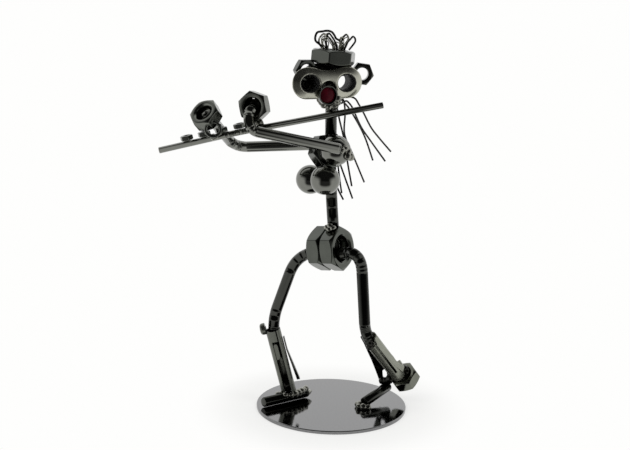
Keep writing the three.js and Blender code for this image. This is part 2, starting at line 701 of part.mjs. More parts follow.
// Torso: spine, chest nut and neck
const chestFrame = frameAt(CHEST_CENTRE, SHOULDER_AXIS, SIDEWAYS);
addSolid(figure, "chest_nut", nutSolid(CHEST_NUT, NUT_SIDES, 0), blackChrome, chestFrame);
const chestRoom = moved(nutBlank(CHEST_NUT, NUT_SIDES, SEAT), chestFrame);
const spineRoute = [SPINE_FOOT, SPINE_BEND, SPINE_TOP];
const spine = cutBy(rodSolid(spineRoute, LIMB_DIAMETER, ROD_SIDES), [...pelvisRoom, chestRoom]);
addSolid(figure, "spine_rod", spine, blackChrome);
const spineRoom = rodRoom(spineRoute, LIMB_DIAMETER, ROD_SIDES);
const waistWeldShares = [
  [-1.6, -0.75, 0.75, 0.75],
  [-0.9, -1.15, 1.4, 0.7],
  [-0.2, -1.25, 0.8, 0.8],
  [-1.05, -1.1, 0.5, 0.8],
];
addWeld("waist_weld", SPINE_FOOT, waistWeldShares, [...pelvisRoom, spineRoom]);

// Goggles: a round-ended outline with a dip at the bridge and a notch below it
function goggleOutline(grow) {
  const radius = GOGGLE_RADIUS + grow;
  const reach = GOGGLE_LENGTH * HALF - GOGGLE_RADIUS;
  const bridge = GOGGLE_BRIDGE + grow;
  const notch = GOGGLE_NOTCH * HALF - grow;
  const rise = GOGGLE_NOTCH_TOP - GOGGLE_NOTCH * HALF;
  const shape = new THREE.Shape();
  shape.moveTo(notch + GOGGLE_CORNER, -radius);
  shape.lineTo(reach, -radius);
  shape.absarc(reach, 0, radius, -Math.PI * HALF, Math.PI * HALF, false);
  shape.bezierCurveTo(reach * HALF, radius, reach * HALF, bridge, 0, bridge);
  shape.bezierCurveTo(-reach * HALF, bridge, -reach * HALF, radius, -reach, radius);
  shape.absarc(-reach, 0, radius, Math.PI * HALF, Math.PI * (1 + HALF), false);
  shape.lineTo(-notch - GOGGLE_CORNER, -radius);
  shape.quadraticCurveTo(-notch, -radius, -notch, -radius + GOGGLE_CORNER);
  shape.absarc(0, rise, notch, Math.PI, 0, true);
  shape.lineTo(notch, -radius + GOGGLE_CORNER);
  shape.quadraticCurveTo(notch, -radius, notch + GOGGLE_CORNER, -radius);
  return shape;
}

// The casting's body: bevelled, narrower to the back, its front face at Z = 0
function goggleBody(grow) {
  const depth = GOGGLE_DEPTH + grow * 2;
  const options = {
    depth: depth - GOGGLE_BEVEL * 2,
    curveSegments: GOGGLE_SIDES,
    bevelThickness: GOGGLE_BEVEL,
    bevelSize: GOGGLE_BEVEL * HALF,
    bevelOffset: -GOGGLE_BEVEL * HALF,
    bevelSegments: 1,
  };
  const body = new THREE.ExtrudeGeometry(goggleOutline(grow), options);
  body.translate(0, 0, GOGGLE_BEVEL - depth + grow);
  const place = body.attributes.position;
  for (let i = 0; i < place.count; i++) {
    const scale = 1 + (goggleTaperShare * (place.getZ(i) - grow)) / depth;
    place.setX(i, place.getX(i) * scale);
    place.setY(i, place.getY(i) * scale);
  }
  return solidOf(body);
}

function goggleHole(side) {
  const radius = GOGGLE_HOLE_WIDTH * HALF;
  const hole = new THREE.CylinderGeometry(radius, radius, GOGGLE_DRILL, NOSE_SIDES);
  hole.rotateX(Math.PI * HALF).scale(1, GOGGLE_HOLE_HEIGHT / GOGGLE_HOLE_WIDTH, 1);
  return solidOf(hole.translate(side * GOGGLE_SPACING * HALF, 0, 0));
}
const goggleFrame = frameAt(GOGGLE_CENTRE, FACING, UP);
const goggles = cutBy(goggleBody(0), [goggleHole(-1), goggleHole(1)]);
addSolid(figure, "goggles", goggles, darkChrome, goggleFrame);
const goggleRoom = moved(goggleBody(SEAT), goggleFrame);

// Neck: from the chest nut to the underside of the goggles
const neckTopHeight = GOGGLE_CENTRE[2] - GOGGLE_RADIUS + GOGGLE_BEVEL;
const neckTop = [NECK_FOOT[0] + NECK_LEAN[0], NECK_FOOT[1] + NECK_LEAN[1], neckTopHeight];
const neckRoute = [NECK_FOOT, neckTop];
const neckRod = rodSolid(neckRoute, LIMB_DIAMETER, ROD_SIDES);
addSolid(figure, "neck_rod", cutBy(neckRod, [chestRoom, goggleRoom]), blackChrome);
const neckRoom = rodRoom(neckRoute, LIMB_DIAMETER, ROD_SIDES);

// Shoulder ball, seated in the near end of the chest nut's bore
const chestSink = CHEST_NUT.bore * HALF + CHEST_NUT.flats * countersinkShare;
const ballReach = (SHOULDER_BALL * HALF + SEAT) * Math.SQRT2 - chestSink;
const shoulderPlace = step(CHEST_CENTRE, SHOULDER_AXIS, CHEST_NUT.thick * HALF + ballReach);
const shoulderMatrix = new THREE.Matrix4().setPosition(vec(shoulderPlace));
addMesh(figure, "shoulder_ball", ballGeometry(SHOULDER_BALL), darkChrome, shoulderMatrix);
const shoulderRoom = moved(solidOf(ballGeometry(SHOULDER_BALL + SEAT * 2)), shoulderMatrix);

// Bust balls, seated on the spine
const bustReach = (BUST_BALL + LIMB_DIAMETER) * HALF + SEAT;
function addBust(name, height, turn, forward) {
  const share = (height - SPINE_BEND[2]) / (SPINE_TOP[2] - SPINE_BEND[2]);
  const centre = between(SPINE_BEND, SPINE_TOP, share);
  const side = [Math.cos(turn * DEGREE), Math.sin(turn * DEGREE), 0];
  const place = step(step(centre, side, bustReach), VIEWER, forward);
  const matrix = new THREE.Matrix4().setPosition(vec(place));
  addMesh(figure, name, ballGeometry(BUST_BALL), paleChrome, matrix);
}
addBust("bust_ball_left", BUST_HEIGHT_LEFT, BUST_TURN_LEFT, BUST_FORWARD_LEFT);
addBust("bust_ball_right", BUST_HEIGHT_RIGHT, BUST_TURN_RIGHT, 0);

// Flute: a rod that passes close in front of the neck
const mouthStep = (LIMB_DIAMETER + FLUTE_DIAMETER) * HALF + SEAT;
const mouthShare = (FLUTE_MOUTH_HEIGHT - NECK_FOOT[2]) / (neckTopHeight - NECK_FOOT[2]);
const mouthPlace = step(between(NECK_FOOT, neckTop, mouthShare), VIEWER, mouthStep);
const fluteFarEnd = step(mouthPlace, heading(FLUTE_BOW, mouthPlace), FLUTE_REACH);
const fluteRoute = [FLUTE_FREE_END, FLUTE_BOW, fluteFarEnd];
addMesh(figure, "flute", rodGeometry(fluteRoute, FLUTE_DIAMETER, FLUTE_SIDES), paleChrome);
const fluteRoom = rodRoom(fluteRoute, FLUTE_DIAMETER, FLUTE_SIDES);
const fluteHeading = heading(FLUTE_FREE_END, FLUTE_BOW);
const fluteSide = vec(fluteHeading).cross(vec(UP)).normalize();
const fluteUp = fluteSide.clone().cross(vec(fluteHeading)).toArray();
const keyRise = FLUTE_DIAMETER * HALF + SEAT + KEY_NUT.thick * HALF;
const keyNut = nutSolid(KEY_NUT, KEY_SIDES, 0);
const keyNutRoom = nutBlank(KEY_NUT, KEY_SIDES, SEAT);
const keyRooms = [];
KEY_DISTANCES.forEach((distance, i) => {
  const place = step(step(FLUTE_FREE_END, fluteHeading, distance), fluteUp, keyRise);
  const frame = frameAt(place, fluteUp, KEY_CORNER);
  addSolid(figure, `flute_key_${i + 1}`, keyNut, darkChrome, frame);
  keyRooms.push(moved(keyNutRoom, frame));
});

// Left arm: from the shoulder ball to the bore of the hand nut
const armReach = (SHOULDER_BALL + ARM_DIAMETER) * HALF + SEAT;
const leftArmStart = step(shoulderPlace, LEFT_SHOULDER_LEAN, armReach);
const wristPlace = step(step(LEFT_HAND, LEFT_HAND_AXIS, WRIST_REACH), UP, -WRIST_DROP);
const leftWrist = [...wristPlace, WRIST_REACH];
const leftArmEnd = step(step(LEFT_HAND, LEFT_HAND_AXIS, -LEFT_ARM_SINK), UP, -LEFT_ARM_DROP);
const leftArmRoute = [leftArmStart, LEFT_ELBOW, leftWrist, leftArmEnd];
const leftArmRoom = rodRoom(leftArmRoute, ARM_DIAMETER, ROD_SIDES);
const handNut = nutSolid(HAND_NUT, NUT_SIDES, 0);
const leftHandCorner = [-Math.sin(LEFT_HAND_TURN * DEGREE), 0, Math.cos(LEFT_HAND_TURN * DEGREE)];
const leftHandPlace = step(LEFT_HAND, LEFT_HAND_AXIS, -HAND_NUT.thick * HALF);
const leftHandFrame = frameAt(leftHandPlace, LEFT_HAND_AXIS, leftHandCorner);
addSolid(figure, "left_hand_nut", handNut, darkChrome, leftHandFrame);
const handNutRoom = nutSolid(HAND_NUT, NUT_SIDES, SEAT);
const leftArm = rodSolid(leftArmRoute, ARM_DIAMETER, ROD_SIDES);
const leftArmCutters = [shoulderRoom, moved(handNutRoom, leftHandFrame)];
addSolid(figure, "left_arm_rod", cutBy(leftArm, leftArmCutters), paleChrome);
const leftHandRoom = moved(nutBlank(HAND_NUT, NUT_SIDES, SEAT), leftHandFrame);
const handPost = step(leftHandPlace, UP, -HAND_NUT.flats * HALF);
const handWeldShares = [
  [0.7, 0.3, 0.6, 0.95],
  [1.0, 0.6, -0.3, 0.9],
  [1.3, 0.75, -1.1, 1.0],
];
addWeld("left_hand_weld", handPost, handWeldShares, [leftHandRoom, fluteRoom, leftArmRoom]);

// Right arm: from the back of the chest nut to the bore of the hand nut
const rightArmEnd = step(step(RIGHT_HAND, RIGHT_HAND_AXIS, -RIGHT_ARM_SINK), UP, RIGHT_ARM_RISE);
const rightArmRoute = [RIGHT_SHOULDER, RIGHT_ELBOW, rightArmEnd];
const rightHandPlace = step(RIGHT_HAND, RIGHT_HAND_AXIS, -HAND_NUT.thick * HALF);
const rightHandFrame = frameAt(rightHandPlace, RIGHT_HAND_AXIS, [0, 1, 0]);
addSolid(figure, "right_hand_nut", handNut, darkChrome, rightHandFrame);
const rightHandRoom = moved(nutBlank(HAND_NUT, NUT_SIDES, SEAT), rightHandFrame);
const rightArm = rodSolid(rightArmRoute, ARM_DIAMETER, ROD_SIDES);
const rightArmCutters = [chestRoom, moved(handNutRoom, rightHandFrame)];
addSolid(figure, "right_arm_rod", cutBy(rightArm, rightArmCutters), paleChrome);

// The finger nut, welded to the front of the flute, carries the right hand nut
const fingerFrame = frameAt(FINGER_CENTRE, VIEWER, UP);
const fingerNut = moved(nutSolid(FINGER_NUT, NUT_SIDES, 0), fingerFrame);
addSolid(figure, "finger_nut", cutBy(fingerNut, [fluteRoom, rightHandRoom]), darkChrome);
const fingerRoom = moved(nutBlank(FINGER_NUT, NUT_SIDES, SEAT), fingerFrame);
const fingerFoot = step(FINGER_CENTRE, UP, -FINGER_NUT.flats * HALF);
const fingerWeldShares = [
  [-0.1, 1.2, -0.1, 0.75],
  [0.5, 1.3, 0.05, 0.6],
];
addWeld("finger_weld", fingerFoot, fingerWeldShares, [fluteRoom, fingerRoom, ...keyRooms]);

// Welds of the shoulder and neck
const shoulderWeldShares = [
  [0.37, -1.11, 0.2, 0.23],
  [0.59, -0.88, 0.26, 0.23],
  [0.81, -0.67, 0.04, 0.22],
  [0.76, -0.74, -0.25, 0.24],
  [0.96, -0.46, -0.32, 0.26],
];
const shoulderWeld = weldSolid(shoulderPlace, shoulderWeldShares, SHOULDER_BALL * HALF, 0);
addSolid(figure, "shoulder_weld", cutBy(shoulderWeld, [shoulderRoom, leftArmRoom, chestRoom]), weldMetal);
const neckWeldShares = [
  [-0.95, -1.5, 0.15, 0.75],
  [0.05, -1.9, 0.2, 0.75],
  [1.0, -1.55, 0.3, 0.75],
];
addWeld("neck_weld", NECK_FOOT, neckWeldShares, [chestRoom, neckRoom, shoulderRoom]);

// Nose: a thin cup on the front of the goggles with a dome in it
const nosePlace = inFrame(goggleFrame, [NOSE_SHIFT, -NOSE_DROP, SEAT]);
const noseFrame = frameAt(nosePlace, FACING, UP);
const noseRadius = NOSE_DIAMETER * HALF;
const noseBore = noseRadius - NOSE_WALL;
const noseProfile = [
  [0, 0],
  [noseRadius, 0],
  [noseRadius, NOSE_DEPTH],
  [noseBore, NOSE_DEPTH],
  [noseBore, NOSE_FLOOR],
  [0, NOSE_FLOOR],
];
addMesh(figure, "nose_cup", latheProfile(noseProfile, NOSE_SIDES), blackChrome, noseFrame);
const domeRadius = noseBore - SEAT;
const domeFloor = NOSE_FLOOR + SEAT;
const domeShares = [[1, 0], [0.87, 0.5], [0.5, 0.87], [0, 1]];
const domeProfile = [[0, domeFloor]];
for (const [r, z] of domeShares) {
  domeProfile.push([r * domeRadius, domeFloor + z * NOSE_DOME_HEIGHT]);
}
addMesh(figure, "nose_dome", latheProfile(domeProfile, NOSE_SIDES), redEnamel, noseFrame);
const noseRoomShares = [[0, -1], [1, -1], [1, 1], [0, 1]];
const noseReach = [noseRadius + SEAT, NOSE_DEPTH + SEAT];
const noseRoomProfile = noseRoomShares.map((pair) => pair.map((share, i) => share * noseReach[i]));
const noseRoom = moved(solidOf(latheProfile(noseRoomProfile, NOSE_SIDES)), noseFrame);

// The weld of the mouth and chin
const chinWeldShares = [
  [-2.7, -2.9, -0.75, 0.75],
  [-2.2, -2.4, -1.3, 0.85],
  [-1.7, -2.0, -2.0, 0.9],
  [-0.5, -2.1, -2.5, 0.95],
  [0.8, -2.0, -2.1, 1.0],
  [1.4, -2.6, -1.2, 0.9],
  [1.5, -3.5, -0.4, 0.8],
];
const chinCutters = [neckRoom, goggleRoom, fluteRoom, noseRoom];
addWeld("chin_weld", neckTop, chinWeldShares, chinCutters);

// Hat nut, resting on the goggles
const hatHeight = GOGGLE_CENTRE[2] + GOGGLE_RADIUS + SEAT + HAT_RISE + HAT_NUT.thick * HALF;
const hatPlace = [GOGGLE_CENTRE[0] + HAT_SHIFT[0], GOGGLE_CENTRE[1] + HAT_SHIFT[1], hatHeight];
const hatFrame = frameAt(hatPlace, HAT_AXIS, HAT_CORNER);
addSolid(figure, "hat_nut", nutSolid(HAT_NUT, NUT_SIDES, 0), blackChrome, hatFrame);
const hatRoom = moved(nutBlank(HAT_NUT, NUT_SIDES, SEAT), hatFrame);

// Ears: one against the back of the goggles, one at their end
const earNut = nutSolid(EAR_NUT, NUT_SIDES, 0);
const earDepth = GOGGLE_DEPTH + SEAT + EAR_NUT.thick * HALF;
const rightEarPlace = inFrame(goggleFrame, [RIGHT_EAR[0], RIGHT_EAR[1], -earDepth]);
const rightEarCorner = heading(GOGGLE_CENTRE, inFrame(goggleFrame, [1, 0, 0]));
const rightEarFrame = frameAt(rightEarPlace, FACING, rightEarCorner);
addSolid(figure, "right_ear_nut", cutBy(moved(earNut, rightEarFrame), [hatRoom]), darkChrome);
const leftEarFrame = frameAt(LEFT_EAR, LEFT_EAR_AXIS, LEFT_EAR_CORNER);
addSolid(figure, "left_ear_nut", cutBy(moved(earNut, leftEarFrame), [goggleRoom, hatRoom]), darkChrome);

// The plug in the hat's bore that holds the curls
const plugRadius = HAT_NUT.bore * HALF - SEAT;
const plugShares = [[0, 0], [1, 0], [1, 1], [0, 1]];
const plugProfile = plugShares.map(([r, z]) => [r * plugRadius, z * HAIR_PLUG - HAT_NUT.thick * HALF]);
addMesh(figure, "hair_plug", latheProfile(plugProfile, NUT_SIDES), weldMetal, hatFrame);

// Curls, as shares of the hat's bore from the middle of its top
const curlShares = {
  curl_back_left: [
    [-0.34, 0.12, -0.4], [-0.42, 0.07, -0.02], [-0.56, 0, 0.21], [-0.58, -0.09, 0.38], [-0.51, -0.09, 0.51],
    [-0.4, -0.05, 0.59], [-0.25, -0.01, 0.5], [-0.12, 0.03, 0.34], [0, 0.07, 0.12], [0.02, 0.1, -0.4],
  ],
  curl_outer_left: [
    [-0.32, -0.07, -0.4], [-0.35, -0.08, -0.05], [-0.55, -0.17, 0.2], [-0.71, -0.25, 0.34],
    [-0.72, -0.33, 0.51], [-0.65, -0.33, 0.66], [-0.46, -0.29, 0.72], [-0.26, -0.25, 0.75],
    [-0.1, -0.17, 0.68], [0, -0.09, 0.56], [0.08, -0.01, 0.42], [0.21, 0.07, 0.34], [0.26, 0.15, 0.12],
    [0.2, 0.13, -0.4],
  ],
  curl_inner: [
    [-0.19, -0.23, -0.4], [-0.29, -0.23, 0.15], [-0.3, -0.21, 0.43], [-0.21, -0.17, 0.62],
    [-0.09, -0.17, 0.5], [0.04, -0.2, 0.3], [0.1, -0.2, 0.11], [0.1, -0.2, -0.4],
  ],
  curl_right: [
    [0.25, -0.04, -0.4], [0.29, -0.01, 0.12], [0.31, -0.01, 0.39], [0.46, 0.03, 0.58],
    [0.55, 0.07, 0.45], [0.48, 0.15, 0.16], [0.4, 0.15, -0.02], [0.34, 0.16, -0.4],
  ],
  curl_front_right: [
    [0.33, -0.19, -0.4], [0.4, -0.19, 0.01], [0.5, -0.25, 0.28], [0.61, -0.41, 0.43], [0.71, -0.49, 0.54],
    [0.79, -0.61, 0.46], [0.79, -0.69, 0.37], [0.69, -0.77, 0.22], [0.56, -0.81, 0.06],
  ],
};
const hatTop = step(hatPlace, HAT_AXIS, HAT_NUT.thick * HALF);
for (const [name, shares] of Object.entries(curlShares)) {
  const route = shares.map((share) => share.map((value, i) => hatTop[i] + value * HAT_NUT.bore));
  addMesh(figure, name, wireGeometry(route, HAIR_DIAMETER, CURL_STEPS), wireSteel);
}

// The weld that holds the long strands behind the head
const strandWeldShares = [
  [-1.3, -1.65, -0.4, 1.0],
  [-0.8, -0.5, 0, 1.1],
  [0.3, 0.35, 0.3, 1.15],
  [-0.8, 0.9, 0, 1.1],
  [0.3, 1.45, 0.2, 0.9],
];
const strandWeld = weldSolid(STRAND_ROOT, strandWeldShares, WELD_BEAD, 0);
addSolid(figure, "strand_weld", cutBy(strandWeld, [neckRoom, goggleRoom, hatRoom]), weldMetal);
const strandWeldRoom = weldSolid(STRAND_ROOT, strandWeldShares, WELD_BEAD, SEAT);

// Strands, as shares of their length from the root
const strandShares = [
  [[0.024, 0.01, 0.016], [0.078, 0.01, 0.012], [0.16, 0.02, -0.004], [0.204, 0.03, -0.066],
    [0.25, 0.04, -0.144], [0.332, 0.05, -0.294], [0.416, 0.06, -0.398], [0.532, 0.07, -0.528]],
  [[-0.018, -0.038, -0.024], [-0.004, -0.032, -0.056], [0.038, -0.006, -0.049], [0.082, 0.03, -0.033],
    [0.107, 0.04, -0.053], [0.138, 0.05, -0.093], [0.169, 0.07, -0.159], [0.238, 0.08, -0.299],
    [0.324, 0.09, -0.419], [0.481, 0.1, -0.629]],
  [[0.016, 0.056, 0.012], [0.036, 0.074, -0.028], [0.1, 0.09, -0.098], [0.172, 0.11, -0.208],
    [0.24, 0.12, -0.326], [0.286, 0.12, -0.424], [0.36, 0.13, -0.628]],
  [[-0.012, -0.002, 0.006], [-0.016, 0.004, -0.04], [0.012, 0.02, -0.19], [0.054, 0.03, -0.352],
    [0.088, 0.04, -0.496], [0.106, 0.05, -0.624], [0.156, 0.06, -0.878]],
  [[0.036, 0.02, 0.004], [0.054, 0.034, -0.03], [0.068, 0.042, -0.1], [0.072, 0.05, -0.172],
    [0.072, 0.07, -0.362], [0.148, 0.09, -0.542], [0.28, 0.1, -0.844]],
  [[-0.04, 0.026, 0], [-0.05, 0.036, -0.05], [-0.064, 0.07, -0.226], [-0.038, 0.08, -0.454],
    [0.04, 0.09, -0.672], [0.168, 0.1, -1.01]],
  [[-0.052, -0.01, -0.004], [-0.07, 0.002, -0.054], [-0.092, 0.03, -0.27], [-0.076, 0.04, -0.568],
    [0.012, 0.05, -0.888], [0.076, 0.05, -1.014]],
  [[-0.032, 0.058, 0], [-0.036, 0.072, -0.05], [-0.022, 0.11, -0.28], [0.004, 0.13, -0.58],
    [0.042, 0.13, -0.86], [0.06, 0.13, -0.964]],
];
strandShares.forEach((shares, i) => {
  const route = shares.map((share) => share.map((value, axis) => STRAND_ROOT[axis] + value * STRAND_LENGTH));
  const strand = solidOf(wireGeometry(route, HAIR_DIAMETER, STRAND_STEPS));
  addSolid(figure, `strand_${i + 1}`, cutBy(strand, [strandWeldRoom]), wireSteel);
});

export default figure;
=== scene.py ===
"""Flute player figure welded from nuts, rods, balls, sleeves and wire: its fine shapes and finishes.

Places and sizes are in millimetres in the frame of the part, and a finished mesh is turned to metres.
The figure shows itself to the viewer on its -Y side. Left and right are the figure's own sides.
"""

import logging
import math
from dataclasses import dataclass, field
from enum import Enum
from typing import Callable, ClassVar, Sequence

import bmesh
import bpy
from mathutils import Matrix, Vector, noise


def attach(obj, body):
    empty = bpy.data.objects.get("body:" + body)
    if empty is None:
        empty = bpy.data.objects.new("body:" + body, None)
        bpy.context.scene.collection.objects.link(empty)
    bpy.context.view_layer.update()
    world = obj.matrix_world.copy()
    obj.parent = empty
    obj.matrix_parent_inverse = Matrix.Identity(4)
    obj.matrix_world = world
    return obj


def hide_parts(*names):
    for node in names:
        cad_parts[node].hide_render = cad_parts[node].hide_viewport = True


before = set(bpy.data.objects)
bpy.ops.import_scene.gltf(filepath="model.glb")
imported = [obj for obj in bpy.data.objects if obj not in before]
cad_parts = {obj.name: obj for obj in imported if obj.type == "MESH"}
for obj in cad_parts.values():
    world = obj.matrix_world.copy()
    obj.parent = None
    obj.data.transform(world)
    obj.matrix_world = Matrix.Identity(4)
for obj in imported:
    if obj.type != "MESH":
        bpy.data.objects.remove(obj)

log = logging.getLogger("flute_player")

Point = Sequence[float]

METRES_PER_MM = 0.001
TO_METRES = Matrix.Scale(METRES_PER_MM, 4)
BODY = "root"
UP = (0.0, 0.0, 1.0)
VIEWER = (0.0, -1.0, 0.0)
HEX_SIDES = 6

# Parts of a turn, in degrees
QUARTER_TURN = 90.0
HALF_TURN = 180.0
FULL_TURN = 360.0

# The straight toe of the sRGB curve and its slope, then the lift and power of the rest
SRGB_TOE = (0.04045, 12.92)
SRGB_CURVE = (0.055, 2.4)

# An edge counts as hard, and is rounded, from this angle in degrees
HARD_ANGLE = 28.0
BEVEL_SEGMENTS = 3

# A direction with more than this share of an axis is framed by another axis
STEEP = 0.9

# Points nearer than this are one, in millimetres
MERGED = 1e-4

# How far a pass of smoothing moves a point towards its neighbours' middle
SMOOTHING = 0.5

# A curve's knots are spaced by this power of its steps, which are never shorter than the least
KNOT_POWER = 0.5
LEAST_STEP = 1e-6


class Slot(Enum):
    """The record's finishes."""

    PLATE = "plate"
    BLACK = "black_chrome"
    DARK = "dark_chrome"
    PALE = "pale_chrome"
    WELD = "weld"
    WIRE = "wire"
    RED = "red_enamel"


def linear(code: str) -> tuple[float, float, float, float]:
    """Turns an sRGB hex colour to linear light.

    Args:
        code: The colour as six hex digits.

    Returns:
        Red, green, blue and a full alpha.
    """
    toe, slope = SRGB_TOE
    lift, power = SRGB_CURVE
    shares = [int(code[i:i + 2], 16) / 255 for i in (0, 2, 4)]
    red, green, blue = [s / slope if s <= toe else ((s + lift) / (1 + lift)) ** power for s in shares]
    return red, green, blue, 1.0


def add_node(tree: bpy.types.NodeTree, kind: str, links: dict | None = None, values: dict | None = None,
             **settings: object) -> bpy.types.Node:
    """Adds a node with its settings, values and links.

    Args:
        tree: The node tree that takes it.
        kind: The node's type.
        links: The output socket that feeds each input, by the input's name or number.
        values: The value of each input, by its name or number.
        settings: The node's own properties.

    Returns:
        The new node.
    """
    node = tree.nodes.new(kind)
    for name, value in settings.items():
        setattr(node, name, value)
    for name, value in (values or {}).items():
        node.inputs[name].default_value = value
    for name, source in (links or {}).items():
        tree.links.new(source, node.inputs[name])
    return node


@dataclass(frozen=True)
class Finish:
    """A finish whose colour drifts in soft clouds between two tones."""

    name: str
    slot: Slot
    light: str
    dark: str
    cloud_detail: ClassVar[float] = 4.0
    cloud_roughness: ClassVar[float] = 0.6

    def material(self) -> bpy.types.Material:
        """Makes the material, or finds it when it is there.

        Returns:
            The material.
        """
        made = bpy.data.materials.get(self.name)
        if not made:
            made = bpy.data.materials.new(self.name)
            made.use_nodes = True
            self.coat(made.node_tree, made.node_tree.nodes["Principled BSDF"])
        return made

    def coat(self, tree: bpy.types.NodeTree, shader: bpy.types.Node) -> None:
        """Sets the shader and its patterns; each kind of finish has its own.

        Args:
            tree: The material's node tree.
            shader: Its shader.
        """
        raise NotImplementedError

    def clouds(self, tree: bpy.types.NodeTree, shader: bpy.types.Node, place: bpy.types.NodeSocket,
               cloud_mm: float) -> bpy.types.NodeSocket:
        """Colours the shader with both tones.

        Args:
            tree: The material's node tree.
            shader: Its shader.
            place: The coordinates that the clouds follow.
            cloud_mm: The size of a cloud.

        Returns:
            The share of the light tone.
        """
        cloud = add_node(tree, "ShaderNodeTexNoise", {"Vector": place},
                         {"Scale": 1 / (cloud_mm * METRES_PER_MM), "Detail": self.cloud_detail,
                          "Roughness": self.cloud_roughness}).outputs["Fac"]
        film = add_node(tree, "ShaderNodeMix", {0: cloud}, {6: linear(self.dark), 7: linear(self.light)},
                        data_type="RGBA")
        tree.links.new(film.outputs[2], shader.inputs["Base Color"])
        return cloud


@dataclass(frozen=True)
class PlatedSteel(Finish):
    """Black nickel chrome over steel: a grey mirror with a cloudy film and a fine plated grain."""

    roughness: tuple[float, float]
    cloud_mm: float = 6.0
    grain_mm: float = 0.35
    grain_depth_mm: float = 0.012
    metallic: float = 1.0
    grain_detail: ClassVar[float] = 2.0
    smear_range: ClassVar[tuple[float, float]] = (0.12, 0.42)

    def coat(self, tree: bpy.types.NodeTree, shader: bpy.types.Node) -> None:
        """Sets the metal, its smeared sheen and its grain.

        Args:
            tree: The material's node tree.
            shader: Its shader.
        """
        shader.inputs["Metallic"].default_value = self.metallic
        place = add_node(tree, "ShaderNodeTexCoord").outputs["Object"]
        cloud = self.clouds(tree, shader, place, self.cloud_mm)
        grain = add_node(tree, "ShaderNodeTexNoise", {"Vector": place},
                         {"Scale": 1 / (self.grain_mm * METRES_PER_MM), "Detail": self.grain_detail})
        smear = add_node(tree, "ShaderNodeMath", {0: cloud, 1: grain.outputs["Fac"]}, operation="MULTIPLY")
        low, high = self.smear_range
        sheen = add_node(tree, "ShaderNodeMapRange", {0: smear.outputs[0]},
                         {1: low, 2: high, 3: self.roughness[0], 4: self.roughness[1]})
        tree.links.new(sheen.outputs[0], shader.inputs["Roughness"])
        bump = add_node(tree, "ShaderNodeBump", {"Height": grain.outputs["Fac"]},
                        {"Strength": 1.0, "Distance": self.grain_depth_mm * METRES_PER_MM})
        tree.links.new(bump.outputs[0], shader.inputs["Normal"])


@dataclass(frozen=True)
class BakedEnamel(Finish):
    """Glossy baked enamel: a deep red skin that darkens in soft clouds."""

    roughness: float = 0.25
    glint: float = 0.08
    cloud_mm: float = 2.5
    ior: float = 1.5
    cloud_detail: ClassVar[float] = 3.0
    cloud_roughness: ClassVar[float] = 0.5

    def coat(self, tree: bpy.types.NodeTree, shader: bpy.types.Node) -> None:
        """Sets the enamel's gloss and colour.

        Args:
            tree: The material's node tree.
            shader: Its shader.
        """
        shader.inputs["Roughness"].default_value = self.roughness
        shader.inputs["IOR"].default_value = self.ior
        shader.inputs["Specular IOR Level"].default_value = self.glint
        self.clouds(tree, shader, add_node(tree, "ShaderNodeTexCoord").outputs["Object"], self.cloud_mm)


# The plate is a true dark mirror with fine specks, so it shows the legs black and sharp
PLATE_CHROME = PlatedSteel("plated_plate", Slot.PLATE, "9A9A9A", "5E5E60", (0.04, 0.1), 0.6, 0.3, 0.006)
# Nuts carry the greenish grey of black nickel
BLACK_CHROME = PlatedSteel("plated_black_nickel", Slot.BLACK, "5E615B", "4C4E4A", (0.09, 0.2))
# The heel nut's colour is lightened to paint its bright highlights
HIGHLIT_CHROME = PlatedSteel("plated_highlit_heel_nut", Slot.BLACK, "7E8074", "5E605A", (0.06, 0.16), 5.0,
                            grain_depth_mm=0.01)
# Drawn bar was plated without polishing: nearly black, bright only along its edges
LIMB_CHROME = PlatedSteel("plated_drawn_bar", Slot.BLACK, "4A4B47", "383936", (0.1, 0.2), 8.0, 0.4, 0.01)
# Bent sheet is duller, so it keeps a grey of its own
SHEET_CHROME = PlatedSteel("plated_sheet", Slot.BLACK, "6E7068", "565852", (0.24, 0.38), 7.0, 0.4, 0.01, 0.9)
# The left sleeve was bent open and scuffed paler
SCUFFED_SHEET = PlatedSteel("plated_scuffed_sheet", Slot.BLACK, "A0A296", "7E8076", (0.3, 0.44), 7.0, 0.4,
                            metallic=0.8)
# The eye holes are lined with flat matt black: painted shade in the bores
SHADED_BORE = PlatedSteel("shaded_bore", Slot.DARK, "1C1C1B", "0C0C0C", (0.55, 0.8), 2.0, 0.4, 0.01, 0.0)
# The casting is greyer than the nuts, and its soft shape blurs the room
CAST_CHROME = PlatedSteel("plated_cast_saddle", Slot.DARK, "C6C6B8", "A4A498", (0.2, 0.32), 6.0, 0.4, 0.003)
# The ears hang in the hat's shade, and their colour is darkened to paint that shade
SHADED_EAR_CHROME = PlatedSteel("plated_shaded_ear_nut", Slot.DARK, "5A5C57", "464844", (0.1, 0.22), 4.0, 0.4, 0.012)
# Small nuts hold a thicker film
DARK_CHROME = PlatedSteel("plated_small_nut", Slot.DARK, "767872", "5E605A", (0.12, 0.26), 4.0, 0.4, 0.015)
# Arms and balls were polished before plating and mirror the room
PALE_CHROME = PlatedSteel("plated_polished_steel", Slot.PALE, "80817B", "6C6D68", (0.04, 0.1), 8.0, 0.5,
                          0.003)
# Weld metal solidified in ripples, and its plating glints in points
WELD_METAL = PlatedSteel("plated_weld_metal", Slot.WELD, "B2B2A8", "3A3A36", (0.08, 0.28), 1.4, 0.5, 0.05)
# Deep in a bore, under a nut or behind the head the weld is darkened: painted shade
SHADED_WELD = PlatedSteel("plated_shaded_weld", Slot.WELD, "3E3E3A", "161615", (0.16, 0.4), 1.4, 0.5, 0.05)
# Drawn wire is dark along its length
WIRE_STEEL = PlatedSteel("plated_wire", Slot.WIRE, "3C3C3A", "222221", (0.2, 0.36), 3.0, 0.3, 0.01)
